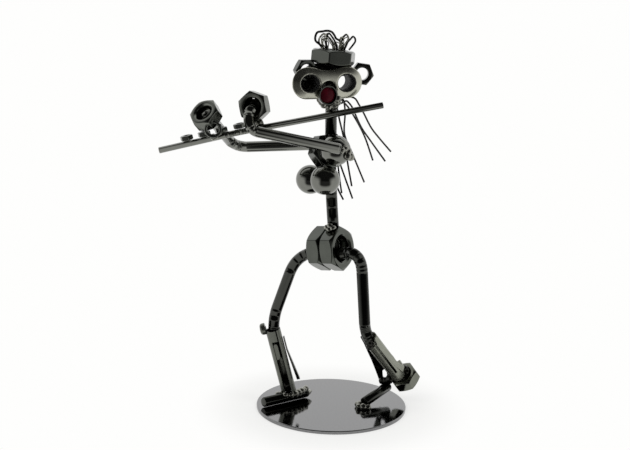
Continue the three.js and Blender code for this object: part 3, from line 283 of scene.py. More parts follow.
# Thin wire took a thin film and stays pale
THIN_WIRE = PlatedSteel("plated_thin_wire", Slot.WIRE, "D0D0C0", "66665C", (0.14, 0.3), 1.5, 0.3, 0.01)
# Enamel baked on the nose gives a deep red with a faint gloss
RED_ENAMEL = BakedEnamel("baked_red_enamel", Slot.RED, "4A0614", "1A0206")


def step(start: Point, direction: Point, distance: float) -> Vector:
    """The point at a distance from start along a direction."""
    return Vector(start) + Vector(direction).normalized() * distance


def between(start: Point, end: Point, share: float) -> Vector:
    """The point at a share of the way from start to end."""
    return Vector(start).lerp(Vector(end), share)


def heading(start: Point, end: Point) -> Vector:
    """The direction from start to end."""
    return (Vector(end) - Vector(start)).normalized()


def frame_at(origin: Point, axis: Point, hint: Point) -> Matrix:
    """A frame with Z along an axis and Y as near to a hint as it can be.

    Args:
        origin: The frame's origin.
        axis: The direction of its Z.
        hint: The direction that its Y leans to.

    Returns:
        The frame as a matrix.
    """
    z = Vector(axis).normalized()
    y = Vector(hint)
    y = (y - z * y.dot(z)).normalized()
    x = y.cross(z)
    turn = Matrix((x, y, z)).transposed()
    return Matrix.Translation(Vector(origin)) @ turn.to_4x4()


def object_of(name: str, bm: bmesh.types.BMesh) -> bpy.types.Object:
    """Makes an object in the scene of a mesh that is in metres.

    Args:
        name: Its name.
        bm: Its mesh, which is freed.

    Returns:
        The new object.
    """
    mesh = bpy.data.meshes.new(name)
    bm.to_mesh(mesh)
    bm.free()
    made = bpy.data.objects.new(name, mesh)
    bpy.context.scene.collection.objects.link(made)
    return made


@dataclass
class Maker:
    """Turns finished meshes into pieces that ride on the figure's body."""

    count: int = 0

    def piece(self, name: str, bm: bmesh.types.BMesh, finish: Finish, nodes: Sequence[str] = (),
              edge: float = 0.0) -> None:
        """Makes a piece of a mesh in millimetres.

        Args:
            name: The piece's name.
            bm: Its mesh, which is freed.
            finish: Its finish.
            nodes: The solids that it stands for, which may be none.
            edge: The rounding of its hard edges, or 0 for none.
        """
        bmesh.ops.transform(bm, matrix=TO_METRES, verts=bm.verts)
        for face in bm.faces:
            face.smooth = True
        self.dressed(object_of(name, bm), finish, nodes, edge)

    def dressed(self, made: bpy.types.Object, finish: Finish, nodes: Sequence[str],
                edge: float = 0.0) -> None:
        """Gives an object its edges, finish, body and solids.

        Args:
            made: The object.
            finish: Its finish.
            nodes: The solids that it stands for, which may be none.
            edge: The rounding of its hard edges, or 0 for none.
        """
        made.data.materials.clear()
        made.data.materials.append(finish.material())
        if edge:
            bevel = made.modifiers.new("rounded_edges", "BEVEL")
            bevel.width = edge * METRES_PER_MM
            bevel.segments = BEVEL_SEGMENTS
            bevel.limit_method = "ANGLE"
            bevel.angle_limit = math.radians(HARD_ANGLE)
            made.modifiers.new("even_shading", "WEIGHTED_NORMAL")
        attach(made, BODY)
        if nodes:
            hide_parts(*nodes)
        self.count += 1
        log.info("%s stands for %s", made.name, ", ".join(nodes) or "no solid of its own")


def transported(points: Sequence[Vector], tangents: Sequence[Vector]) -> list[Matrix]:
    """Frames along a path that turn no more than the path does.

    Args:
        points: The path's stations.
        tangents: The path's direction at each.

    Returns:
        One frame for each station, its Z along the path.
    """
    lean = VIEWER if abs(tangents[0].y) < STEEP else UP
    frames = [frame_at(points[0], tangents[0], lean)]
    for last, place, tangent in zip(tangents, points[1:], tangents[1:]):
        turn = last.rotation_difference(tangent).to_matrix()
        frames.append(Matrix.Translation(place) @ (turn @ frames[-1].to_3x3()).to_4x4())
    return frames


def sweep(frames: Sequence[Matrix], radii: Sequence[float], sides: int) -> bmesh.types.BMesh:
    """Extrudes a round section from frame to frame.

    Args:
        frames: The stations of the sweep.
        radii: The section's radius at each.
        sides: The section's number of sides.

    Returns:
        The closed mesh.
    """
    bm = bmesh.new()
    ring = bmesh.ops.create_circle(bm, cap_ends=True, radius=radii[0], segments=sides, matrix=frames[0])
    end = ring["verts"][0].link_faces[0]
    for last, following, was, becomes in zip(frames, frames[1:], radii, radii[1:]):
        grown = bmesh.ops.extrude_face_region(bm, geom=[end])["geom"]
        end = next(g for g in grown if isinstance(g, bmesh.types.BMFace))
        scale = Matrix.Scale(becomes / was, 4)
        moved = following @ scale @ last.inverted()
        bmesh.ops.transform(bm, matrix=moved, verts=[g for g in grown if isinstance(g, bmesh.types.BMVert)])
    bmesh.ops.recalc_face_normals(bm, faces=bm.faces)
    return bm


@dataclass(frozen=True)
class Rod:
    """Round bar that is bent where its route turns.

    A route's inner points have a fourth value, the length of bar on each side that the bend takes.
    """

    route: Sequence[Point]
    diameter: float
    sides: int = 40
    bend_steps: int = 24
    least_step_share: float = 0.05
    end_round: float = 0.45
    round_steps: int = 4

    def stations(self) -> tuple[list[Vector], list[Vector]]:
        """The places and directions along the bar's middle.

        Returns:
            The points, and the tangent at each.
        """
        corners = [Vector(p[:3]) for p in self.route]
        points = [corners[0]]
        tangents = [heading(corners[0], corners[1])]
        for i in range(1, len(corners) - 1):
            into = corners[i] - corners[i - 1]
            out = corners[i + 1] - corners[i]
            reach = min(self.route[i][3], into.length, out.length)
            start = corners[i] - into.normalized() * reach
            end = corners[i] + out.normalized() * reach
            for k in range(self.bend_steps + 1):
                t = k / self.bend_steps
                place = start.lerp(corners[i], t).lerp(corners[i].lerp(end, t), t)
                if (place - points[-1]).length > self.diameter * self.least_step_share:
                    points.append(place)
                    tangents.append((into.normalized().lerp(out.normalized(), t)).normalized())
        points.append(corners[-1])
        tangents.append(heading(corners[-2], corners[-1]))
        return points, tangents

    def mesh(self) -> bmesh.types.BMesh:
        """The bar with its ends rounded over.

        Returns:
            The closed mesh.
        """
        points, tangents = self.stations()
        radius = self.diameter / 2
        turns = [math.pi / 2 * k / self.round_steps for k in range(self.round_steps + 1)]
        insets = [self.end_round * (1 - math.sin(angle)) for angle in turns]
        narrowed = [radius - self.end_round * (1 - math.cos(angle)) for angle in turns]
        first = [points[0] + tangents[0] * inset for inset in reversed(insets)]
        last = [points[-1] - tangents[-1] * inset for inset in insets]
        middle = points[1:-1]
        radii = narrowed[::-1] + [radius] * len(middle) + narrowed
        tangents = [tangents[0]] * len(first) + tangents[1:-1] + [tangents[-1]] * len(last)
        return sweep(transported(first + middle + last, tangents), radii, self.sides)


@dataclass(frozen=True)
class HexNut:
    """Plain hexagon nut, chamfered on both faces and countersunk at its bore."""

    flats: float
    thick: float
    bore: float
    edge: float
    segments: int = 96
    chamfer_share: float = 0.95
    chamfer_slope: float = math.tan(math.pi / 6)
    sink_share: float = 0.06

    def outline(self, angle: float) -> float:
        """The hexagon's radius at an angle, with its corners on Y.

        Args:
            angle: The angle in radians from X.

        Returns:
            The distance from the axis.
        """
        sector = 2 * math.pi / HEX_SIDES
        off = (angle + sector / 2) % sector - sector / 2
        return self.flats / 2 / math.cos(off)

    def mesh(self, place: Matrix) -> bmesh.types.BMesh:
        """The nut in a frame, its axis along Z.

        Args:
            place: The frame at its middle.

        Returns:
            The closed mesh.
        """
        half = self.thick / 2
        bore = self.bore / 2
        sink = self.flats * self.sink_share
        ring = self.flats / 2 * self.chamfer_share

        def rim(angle: float) -> float:
            """The height of the flat's edge at an angle."""
            return half - (self.outline(angle) - ring) * self.chamfer_slope

        rings: list[Callable[[float], tuple[float, float]]] = [
            lambda a: (bore + sink, -half),
            lambda a: (ring, -half),
            lambda a: (self.outline(a), -rim(a)),
            lambda a: (self.outline(a), rim(a)),
            lambda a: (ring, half),
            lambda a: (bore + sink, half),
            lambda a: (bore, half - sink),
        ]
        bm = bmesh.new()
        bmesh.ops.create_circle(bm, radius=bore, segments=self.segments,
                                matrix=Matrix.Translation((0, 0, sink - half)))
        first = list(bm.edges)
        loop = first
        for shape in rings:
            grown = bmesh.ops.extrude_edge_only(bm, edges=loop)["geom"]
            loop = [g for g in grown if isinstance(g, bmesh.types.BMEdge)]
            for vert in (g for g in grown if isinstance(g, bmesh.types.BMVert)):
                angle = math.atan2(vert.co.y, vert.co.x)
                radius, height = shape(angle)
                vert.co = (math.cos(angle) * radius, math.sin(angle) * radius, height)
        bmesh.ops.bridge_loops(bm, edges=first + loop)
        bmesh.ops.recalc_face_normals(bm, faces=bm.faces)
        bmesh.ops.transform(bm, matrix=place, verts=bm.verts)
        return bm


def turned(profile: Sequence[Point], place: Matrix, segments: int = 96) -> bmesh.types.BMesh:
    """Turns a profile about Z, as on a lathe.

    Args:
        profile: Points of radius and height, from axis to axis.
        place: The frame that the piece stands in.
        segments: The number of steps round.

    Returns:
        The closed mesh.
    """
    bm = bmesh.new()
    verts = [bm.verts.new((r, 0, z)) for r, z in profile]
    edges = [bm.edges.new(pair) for pair in zip(verts, verts[1:])]
    bmesh.ops.spin(bm, geom=verts + edges, cent=(0, 0, 0), axis=UP, dvec=(0, 0, 0), angle=2 * math.pi,
                   steps=segments, use_merge=True)
    bmesh.ops.remove_doubles(bm, verts=bm.verts, dist=MERGED)
    bmesh.ops.recalc_face_normals(bm, faces=bm.faces)
    bmesh.ops.transform(bm, matrix=place, verts=bm.verts)
    return bm


def quarter_round(centre: Point, across: float, rise: float, steps: int) -> list[Point]:
    """Points of a quarter of an ellipse, from its side to its top.

    Args:
        centre: The ellipse's centre.
        across: Its half width.
        rise: Its half height.
        steps: The number of steps.

    Returns:
        The points.
    """
    turns = [math.pi / 2 * k / steps for k in range(steps + 1)]
    return [(centre[0] + across * math.cos(a), centre[1] + rise * math.sin(a)) for a in turns]


def ball(diameter: float, centre: Point, segments: int = 80, rings: int = 48) -> bmesh.types.BMesh:
    """A steel ball.

    Args:
        diameter: Its diameter.
        centre: Its centre.
        segments: The number of steps round.
        rings: The number of steps from pole to pole.

    Returns:
        The closed mesh.
    """
    bm = bmesh.new()
    bmesh.ops.create_uvsphere(bm, u_segments=segments, v_segments=rings, radius=diameter / 2,
                              matrix=Matrix.Translation(Vector(centre)))
    return bm


def cut_plate(outline: Sequence[Point], thickness: float, place: Matrix) -> bmesh.types.BMesh:
    """A sheet piece with its outline in X and Z, centred on Y.

    Args:
        outline: Its corners.
        thickness: The sheet's thickness.
        place: The frame that it lies in.

    Returns:
        The closed mesh.
    """
    bm = bmesh.new()
    face = bm.faces.new([bm.verts.new((x, -thickness / 2, z)) for x, z in outline])
    grown = bmesh.ops.extrude_face_region(bm, geom=[face])["geom"]
    verts = [g for g in grown if isinstance(g, bmesh.types.BMVert)]
    bmesh.ops.translate(bm, vec=(0, thickness, 0), verts=verts)
    bmesh.ops.recalc_face_normals(bm, faces=bm.faces)
    bmesh.ops.transform(bm, matrix=place, verts=bm.verts)
    return bm


@dataclass(frozen=True)
class SlottedSleeve:
    """Thin sheet rolled to a tube, with windows cut in it.

    A window is its low and high angle in degrees, then its low and high place along the sleeve.
    """

    diameter: float
    wall: float
    low: float
    high: float
    windows: Sequence[tuple[float, float, float, float]]
    segments: int = 60

    def mesh(self, place: Matrix) -> bmesh.types.BMesh:
        """The sleeve in a frame, its axis along Z and angle 0 on its Y.

        Args:
            place: The frame at its knee end.

        Returns:
            The closed mesh.
        """
        angles = {FULL_TURN * i / self.segments - HALF_TURN for i in range(self.segments + 1)}
        heights = {self.low, self.high}
        for left, right, bottom, top in self.windows:
            angles |= {left, right}
            heights |= {max(bottom, self.low), min(top, self.high)}
        around, along = sorted(angles), sorted(heights)
        bm = bmesh.new()
        columns, rows = len(around) - 1, len(along) - 1
        bmesh.ops.create_grid(bm, x_segments=columns, y_segments=rows, size=1)
        for vert in bm.verts:
            column = round((vert.co.x + 1) / 2 * columns)
            row = round((vert.co.y + 1) / 2 * rows)
            vert.co = (around[column], along[row], 0)
        gone = [f for f in bm.faces if self.is_open(f.calc_center_median())]
        bmesh.ops.delete(bm, geom=gone, context="FACES")
        radius = self.diameter / 2
        for vert in bm.verts:
            angle = math.radians(vert.co.x)
            vert.co = (radius * math.sin(angle), radius * math.cos(angle), vert.co.y)
        bmesh.ops.remove_doubles(bm, verts=bm.verts, dist=MERGED)
        bmesh.ops.recalc_face_normals(bm, faces=bm.faces)
        outer = next(iter(bm.faces))
        centre = outer.calc_center_median()
        inward = outer.normal.dot(Vector((centre.x, centre.y, 0))) < 0
        bmesh.ops.solidify(bm, geom=bm.faces, thickness=-self.wall if inward else self.wall)
        bmesh.ops.recalc_face_normals(bm, faces=bm.faces)
        bmesh.ops.transform(bm, matrix=place, verts=bm.verts)
        return bm

    def is_open(self, centre: Vector) -> bool:
        """Whether a cell of the unrolled sheet, by its centre, lies in a window."""
        return any(left < centre.x < right and bottom < centre.y < top
                   for left, right, bottom, top in self.windows)


def lump(centre: Point, radii: Point, axis: Point, ripple: float, grain: float = 1.8,
         levels: int = 5) -> bmesh.types.BMesh:
    """A rippled lump of weld metal.

    Args:
        centre: Its centre.
        radii: Its half sizes across, up and along its axis.
        axis: The direction of its third size.
        ripple: The height of its ripples.
        grain: The length of a ripple.
        levels: How often its faces are divided.

    Returns:
        The closed mesh.
    """
    bm = bmesh.new()
    bmesh.ops.create_icosphere(bm, subdivisions=levels, radius=1)
    place = frame_at(centre, axis, UP if abs(Vector(axis).normalized().z) < STEEP else VIEWER)
    for vert in bm.verts:
        outward = place.to_3x3() @ Vector(vert.co)
        seat = place @ Vector([v * r for v, r in zip(vert.co, radii)])
        vert.co = seat + outward * (ripple * noise.noise(seat / grain))
    return bm


def remeshed(made: bpy.types.Object, voxel: float, passes: int) -> None:
    """Remeshes and smooths an object, and keeps the result as its mesh.

    Args:
        made: The object, which is linked to the scene.
        voxel: The size of a cell, in millimetres.
        passes: The number of smoothing passes.
    """
    remesh = made.modifiers.new("even_cells", "REMESH")
    remesh.mode = "VOXEL"
    remesh.voxel_size = voxel * METRES_PER_MM
    smooth = made.modifiers.new("softened", "SMOOTH")
    smooth.factor = SMOOTHING
    smooth.iterations = passes
    graph = bpy.context.evaluated_depsgraph_get()
    mesh = bpy.data.meshes.new_from_object(made.evaluated_get(graph))
    made.modifiers.clear()
    made.data = mesh
    mesh.shade_smooth()


@dataclass
class Weld:
    """Weld metal that runs in ripples over the pieces it joins."""

    nodes: Sequence[str] = ("right_foot_weld", "left_toe_weld", "left_knee_weld", "left_heel_weld",
                            "waist_weld", "left_hand_weld", "finger_weld", "shoulder_weld", "neck_weld",
                            "chin_weld", "strand_weld")
    # These welds sit in bores and under nuts, so they take the darkened weld as painted shade
    shaded_welds: Sequence[str] = ("left_heel_weld", "neck_weld", "left_knee_weld")
    merged: float = 0.001
    voxel: float = 0.2
    passes: int = 5
    swell: float = 0.28
    ripple: float = 0.22
    ripple_length: float = 1.5

    def build(self, maker: Maker) -> None:
        """Builds every weld from the solid that it stands for.

        Args:
            maker: Turns the meshes into pieces.
        """
        for node in self.nodes:
            bm = bmesh.new()
            bm.from_mesh(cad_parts[node].data)
            bmesh.ops.remove_doubles(bm, verts=bm.verts, dist=self.merged * METRES_PER_MM)
            made = object_of(node + "_bead", bm)
            remeshed(made, self.voxel, self.passes)
            normals = [v.normal.copy() for v in made.data.vertices]
            for vert, normal in zip(made.data.vertices, normals):
                place = vert.co / (self.ripple_length * METRES_PER_MM)
                height = self.swell + self.ripple * noise.noise(place)
                vert.co += normal * height * METRES_PER_MM
            maker.dressed(made, SHADED_WELD if node in self.shaded_welds else WELD_METAL, [node])


@dataclass
class BasePlate:
    """The round plate that the figure stands on."""

    diameter: float = 75.0
    thickness: float = 1.8
    edge: float = 0.45
    segments: int = 160

    def build(self, maker: Maker) -> None:
        """Turns the plate with a rounded edge.

        Args:
            maker: Turns the mesh into a piece.
        """
        radius = self.diameter / 2
        profile = [(0, 0), (radius, 0), (radius, self.thickness), (0, self.thickness)]
        disc = turned(profile, Matrix(), self.segments)
        maker.piece("plate_disc", disc, PLATE_CHROME, ["base_plate"], self.edge)


@dataclass
class Stock:
    """The bar, nuts and balls that the figure is made of."""

    seat: float = 0.3
    limb: float = 5.6
    arm: float = 5.2
    foot: float = 4.9
    flute: float = 3.0
    wire: float = 0.9
    large: HexNut = HexNut(19.4, 7.7, 12.4, 0.45)
    hat: HexNut = HexNut(19.3, 6.9, 12.4, 0.45)
    chest: HexNut = HexNut(16.0, 8.0, 10.4, 0.4)
    hand: HexNut = HexNut(13.2, 6.5, 8.0, 0.35)
    heel: HexNut = HexNut(13.0, 6.2, 8.0, 0.7)
    ear: HexNut = HexNut(10.0, 4.6, 6.0, 0.3)
    finger: HexNut = HexNut(8.0, 3.0, 5.2, 0.22)
    key: HexNut = HexNut(5.5, 2.3, 2.9, 0.16, 48)
    bust_ball: float = 14.2
    shoulder_ball: float = 14.6
    sleeve: float = 7.4
    sleeve_wall: float = 0.45
    sheet_edge: float = 0.12
    strip: float = 0.7
    strip_edge: float = 0.2
    overrun: float = 1.0


@dataclass
class Pelvis:
    """Two large nuts side by side on the hip axis."""

    stock: Stock
    centre: Point = (-2.3, 0, 82)
    axis: Point = (0.808, -0.571, 0.14)

    def hip_step(self) -> float:
        """The distance of a nut's middle from the pelvis's."""
        return (self.stock.large.thick + self.stock.seat) / 2

    def build(self, maker: Maker) -> None:
        """Builds both nuts.

        Args:
            maker: Turns the meshes into pieces.
        """
        for side, name in ((-1, "pelvis_nut_right"), (1, "pelvis_nut_left")):
            place = frame_at(step(self.centre, self.axis, side * self.hip_step()), self.axis, UP)
            nut = self.stock.large
            maker.piece(name + "_fine", nut.mesh(place), BLACK_CHROME, [name], nut.edge)


@dataclass
class RightLeg:
    """Leg rod, slotted shin sleeve with its strip and knee screw, and the foot rod."""

    stock: Stock
    pelvis: Pelvis
    plate: BasePlate
    toe: Point = (-33.8, -7.8)
    foot_length: float = 26.0
    foot_turn: float = 36.9
    knee: Point = (-29.8, -1.6, 40.6)
    ankle_share: float = 0.63
    knee_rise: float = 3.2
    knee_reach: float = 9.0
    hip_bend: Point = (-18.6, 8.4, 77.3, 11)
    hip_drop_share: float = 0.6
    hip_back_share: float = 0.8
    rod_depth: float = 15.0
    collar: float = 5.6
    slot: float = 3.5
    seam: float = 0.6
    tongue: Point = (7.0, 15.5, 2.0)
    tongue_shift: float = 0.5
    tongue_edge: float = 0.1
    plug: float = 4.0
    plug_ripple: float = 0.3
    strip_width: float = 2.2
    strip_start: float = 5.0
    strip_bend: float = 12.0
    strip_end: float = 29.0
    strip_flare: float = 2.4
    strip_spread: float = 0.9
    screw_head: Point = (5.8, 2.6)
    screw_shank: Point = (2.6, 0.4)
    screw_rise: float = 1.2
    screw_edge: float = 0.15
    screw_segments: int = 48
    dome_steps: int = 8

    def build(self, maker: Maker) -> None:
        """Builds the leg from the foot up.

        Args:
            maker: Turns the meshes into pieces.
        """
        stock = self.stock
        toe = Vector((*self.toe, self.plate.thickness + stock.seat + stock.foot / 2))
        turn = math.radians(self.foot_turn)
        heel = step(toe, (math.cos(turn), math.sin(turn), 0), self.foot_length)
        maker.piece("right_foot_bar", Rod((toe, heel), stock.foot).mesh(), LIMB_CHROME, ["right_foot"])
        ankle = between(toe, heel, self.ankle_share)
        shin = frame_at(self.knee, heading(self.knee, ankle), VIEWER)
        length = (ankle - Vector(self.knee)).length - stock.foot / 2 - stock.seat
        self.build_sleeve(maker, shin, length)
        self.build_screw(maker, shin)
        room = (stock.large.bore - stock.limb) / 2 - stock.seat
        bore = step(self.pelvis.centre, self.pelvis.axis, -self.pelvis.hip_step() / 2)
        back = (-self.pelvis.axis[1], self.pelvis.axis[0], 0)
        hip = step(step(bore, UP, -room * self.hip_drop_share), back, room * self.hip_back_share)
        bend = (*(shin @ Vector((0, 0, -self.knee_rise))), self.knee_reach)
        end = shin @ Vector((0, 0, self.rod_depth))
        route = (hip, self.hip_bend, bend, end)
        maker.piece("right_leg_bar", Rod(route, stock.limb).mesh(), LIMB_CHROME, ["right_leg_rod"])

    def build_sleeve(self, maker: Maker, shin: Matrix, length: float) -> None:
        """Builds the sleeve and the strip beside it.

        Args:
            maker: Turns the meshes into pieces.
            shin: The frame at the knee.
            length: The sleeve's length.
        """
        radius = self.stock.sleeve / 2
        reach = math.degrees(math.asin(self.slot / 2 / radius))
        seam = math.degrees(math.asin((self.slot / 2 - self.seam) / radius))
        past = self.stock.overrun
        windows = [(-reach, reach, self.collar, length + past), (seam, reach, -past, self.collar)]
        sleeve = SlottedSleeve(self.stock.sleeve, self.stock.sleeve_wall, 0, length, windows)
        maker.piece("right_sleeve_sheet", sleeve.mesh(shin), SHEET_CHROME, ["right_shin_sleeve"],
                    self.stock.sheet_edge)
        low, high, width = self.tongue
        middle = width / 2
        rim = [(-middle, high), (-middle, low + middle), (-middle / 2, low), (middle / 2, low),
               (middle, low + middle), (middle, high - middle), (0, high)]
        place = shin @ Matrix.Translation((-self.tongue_shift, radius - 2 * self.stock.sleeve_wall, 0))
        tongue = cut_plate(rim, self.stock.sleeve_wall, place)
        maker.piece("right_sleeve_tongue", tongue, SHEET_CHROME, edge=self.tongue_edge)
        foot = shin @ Vector((0, 0, length - self.plug))
        inside = radius - self.stock.sleeve_wall
        # The weld plug in the sleeve's foot is darkened: painted shade inside the sleeve
        filling = lump(foot, (inside, inside, self.plug), heading(self.knee, foot), self.plug_ripple)
        maker.piece("right_sleeve_filling", filling, SHADED_WELD)
        near = radius + self.stock.seat
        far = near + self.stock.strip
        outline = [(near, self.strip_start), (near, self.strip_bend),
                   (near + self.strip_flare - self.strip_spread, self.strip_end),
                   (far + self.strip_flare, self.strip_end), (far, self.strip_bend), (far, self.strip_start)]
        strip = cut_plate(outline, self.strip_width, shin)
        maker.piece("right_strip_sheet", strip, LIMB_CHROME, ["right_shin_strip"], self.stock.strip_edge)

    def build_screw(self, maker: Maker, shin: Matrix) -> None:
        """Builds the pan-head screw at the knee.

        Args:
            maker: Turns the mesh into a piece.
            shin: The frame at the knee.
        """
        head, height = self.screw_head[0] / 2, self.screw_head[1]
        shank, neck = self.screw_shank[0] / 2, self.screw_shank[1]
        place = shin @ Vector((-self.stock.limb / 2 - self.stock.seat, 0, -self.screw_rise))
        axis = heading(self.knee, shin @ Vector((-self.stock.sleeve / 2, 0, 0)))
        dome = height / 2
        arc = quarter_round((head - dome, neck + height - dome), dome, dome, self.dome_steps)
        profile = [(0, 0), (shank, 0), (shank, neck), (head, neck), *arc, (0, neck + height)]
        screw = turned(profile, frame_at(place, axis, UP), self.screw_segments)
        maker.piece("knee_screw_head", screw, SHEET_CHROME, ["right_knee_screw"], self.screw_edge)


@dataclass
class LeftLeg:
    """Leg rod, split shin sleeve with its strip, heel nut, and the foot rod on its toe."""

    stock: Stock
    pelvis: Pelvis
    toe: Point = (16.3, -5.8, 4.8)
    knee: Point = (19.5, -8, 37.2)
    knee_bend: Point = (15.6, -9.5, 42.6, 7)
    rod_end: Point = (17.9, -8.5, 38.4)
    hip_bend: Point = (12.4, -13.0, 84.5, 11.5)
    axis: Point = (0.47, 0.5, -0.73)
    length: float = 30.4
    heel_shift: Point = (-7.5, 0.2)
    heel_drop: float = 3.0
    heel_nut_shift: float = 2.3
    heel_nut_drop: float = 0.4
    collar: float = 6.0
    slots: Sequence[Point] = ((0.1, 1.2), (-3.0, 0.8))
    tongue: float = 3.4
    tongue_share: float = 0.5
    lug: Point = (1.6, 3.0, 3.6)
    lug_edge: float = 0.3
    flap_turn: float = 20.0
    flap_outline: Sequence[Point] = (
        (1.3, 0.5), (1.9, 19.3), (3.4, 27.4), (5.7, 25.3), (4.2, 17.5), (4.4, 14.5), (3.8, 3.9), (4.2, -4.2),
        (2.6, -4.6))
    strip_length: float = 35.5
    strip_shares: Sequence[Point] = (
        (-0.12, -0.068), (-0.135, 0.07), (-0.17, 0.275), (-0.194, 0.43), (-0.237, 0.648), (-0.307, 0.975),
        (-0.242, 0.975), (-0.2, 0.837), (-0.163, 0.75), (-0.085, 0.735), (-0.05, 0.127), (-0.05, -0.068))

    def build(self, maker: Maker) -> None:
        """Builds the leg from the hip down.

        Args:
            maker: Turns the meshes into pieces.
        """
        stock = self.stock
        shin = frame_at(self.knee, self.axis, VIEWER)
        heel = shin @ Vector((*self.heel_shift, self.length + self.heel_drop))
        maker.piece("left_foot_bar", Rod((self.toe, heel), stock.foot).mesh(), LIMB_CHROME, ["left_foot"])
        room = (stock.large.bore - stock.limb) / 2 - stock.seat
        hip = step(step(self.pelvis.centre, self.pelvis.axis, self.pelvis.hip_step() / 2), UP, -room)
        route = (hip, self.hip_bend, self.knee_bend, self.rod_end)
        maker.piece("left_leg_bar", Rod(route, stock.limb).mesh(), LIMB_CHROME, ["left_leg_rod"])
        self.build_sleeve(maker, shin)
        depth = self.length + stock.seat + stock.heel.thick / 2
        place = step(shin @ Vector((self.heel_nut_shift, 0, depth)), UP, -self.heel_nut_drop)
        nut = stock.heel.mesh(frame_at(place, self.axis, UP))
        maker.piece("left_heel_nut_fine", nut, HIGHLIT_CHROME, ["left_heel_nut"], stock.heel.edge)

    def build_sleeve(self, maker: Maker, shin: Matrix) -> None:
        """Builds the sleeve with its lug and the strip behind it.

        Args:
            maker: Turns the meshes into pieces.
            shin: The frame at the knee.
        """
        radius = self.stock.sleeve / 2
        top = self.length - self.collar
        low = -self.tongue - self.stock.overrun
        tongue = math.degrees(math.asin(self.tongue_share))
        windows = [(-HALF_TURN, tongue, low, 0), (HALF_TURN - tongue, HALF_TURN, low, 0)]
        for place, width in self.slots:
            edges = [math.degrees(math.asin(x / radius)) for x in (place, place + width)]
            windows.append((*edges, low, top))
        wall = self.stock.sleeve_wall
        sleeve = SlottedSleeve(self.stock.sleeve, wall, -self.tongue, self.length, windows)
        maker.piece("left_sleeve_sheet", sleeve.mesh(shin), SCUFFED_SHEET, ["left_shin_sleeve"],
                    self.stock.sheet_edge)
        shift = self.flap_outline[0][0]
        hinge = Matrix.Rotation(math.radians(-self.flap_turn), 4, "Z")
        place = shin @ Matrix.Translation((shift, radius - wall, 0)) @ hinge
        flap = cut_plate([(x - shift, z) for x, z in self.flap_outline], wall, place)
        maker.piece("left_sleeve_flap", flap, SCUFFED_SHEET, edge=self.stock.sheet_edge)
        reach, width, height = self.lug
        near, far = radius - 2 * wall, radius + reach
        outline = [(near, top - height / 2), (far, top - height / 2), (far, top + height / 2),
                   (near, top + height / 2)]
        lug = cut_plate(outline, width, shin)
        maker.piece("left_sleeve_lug", lug, SCUFFED_SHEET, ["left_shin_sleeve"], self.lug_edge)
        points = [(x * self.strip_length, z * self.strip_length) for x, z in self.strip_shares]
        behind = radius + self.stock.seat + self.stock.strip
        place = shin @ Matrix.Translation((0, -behind, 0))
        strip = cut_plate(points, self.stock.strip, place)
        maker.piece("left_strip_sheet", strip, LIMB_CHROME, ["left_shin_strip"], self.stock.strip_edge)


@dataclass
class Torso:
    """Spine, chest nut, neck, and the shoulder and bust balls."""

    stock: Stock
    spine_foot: Point = (-0.9, -1.8, 91.5)
    spine_bend: Point = (-2.3, 0, 108, 9)
    spine_top: Point = (-3, 0, 122.4)
    chest: Point = (-4.7, 0, 130)
    shoulder_axis: Point = (0.45, -0.88, 0.19)
    sideways: Point = (1, 0.5, 0.09)
    neck_foot: Point = (-3.2, 0, 137)
    neck_top: Point = (-3.45, 0.3, 156.9)
    bust_left: Point = (117.9, 254, 1.7)
    bust_right: Point = (115.7, 167, 0)

    def shoulder(self) -> Vector:
        """The shoulder ball's centre, seated in the chest nut's bore.

        Returns:
            The centre.
        """
        nut = self.stock.chest
        sink = nut.bore / 2 + nut.flats * nut.sink_share
        reach = (self.stock.shoulder_ball / 2 + self.stock.seat) * math.sqrt(2) - sink
        return step(self.chest, self.shoulder_axis, nut.thick / 2 + reach)

    def bust(self, height: float, turn: float, forward: float) -> Vector:
        """A bust ball's centre, seated against the spine.

        Args:
            height: The height of its seat.
            turn: The direction from the spine, in degrees.
            forward: The shift towards the viewer.

        Returns:
            The centre.
        """
        share = (height - self.spine_bend[2]) / (self.spine_top[2] - self.spine_bend[2])
        centre = between(self.spine_bend[:3], self.spine_top, share)
        side = (math.cos(math.radians(turn)), math.sin(math.radians(turn)), 0)
        reach = (self.stock.bust_ball + self.stock.limb) / 2 + self.stock.seat
        return step(step(centre, side, reach), VIEWER, forward)

    def build(self, maker: Maker) -> None:
        """Builds the torso from the waist up.

        Args:
            maker: Turns the meshes into pieces.
        """
        stock = self.stock
        spine = Rod((self.spine_foot, self.spine_bend, self.spine_top), stock.limb)
        maker.piece("spine_bar", spine.mesh(), LIMB_CHROME, ["spine_rod"])
        place = frame_at(self.chest, self.shoulder_axis, self.sideways)
        maker.piece("chest_nut_fine", stock.chest.mesh(place), BLACK_CHROME, ["chest_nut"], stock.chest.edge)
        neck = Rod((self.neck_foot, self.neck_top), stock.limb)
        maker.piece("neck_bar", neck.mesh(), LIMB_CHROME, ["neck_rod"])
        shoulder = ball(stock.shoulder_ball, self.shoulder())
        maker.piece("shoulder_sphere", shoulder, PALE_CHROME, ["shoulder_ball"])
        for name, seat in (("bust_ball_left", self.bust_left), ("bust_ball_right", self.bust_right)):
            maker.piece(name + "_sphere", ball(stock.bust_ball, self.bust(*seat)), PALE_CHROME, [name])


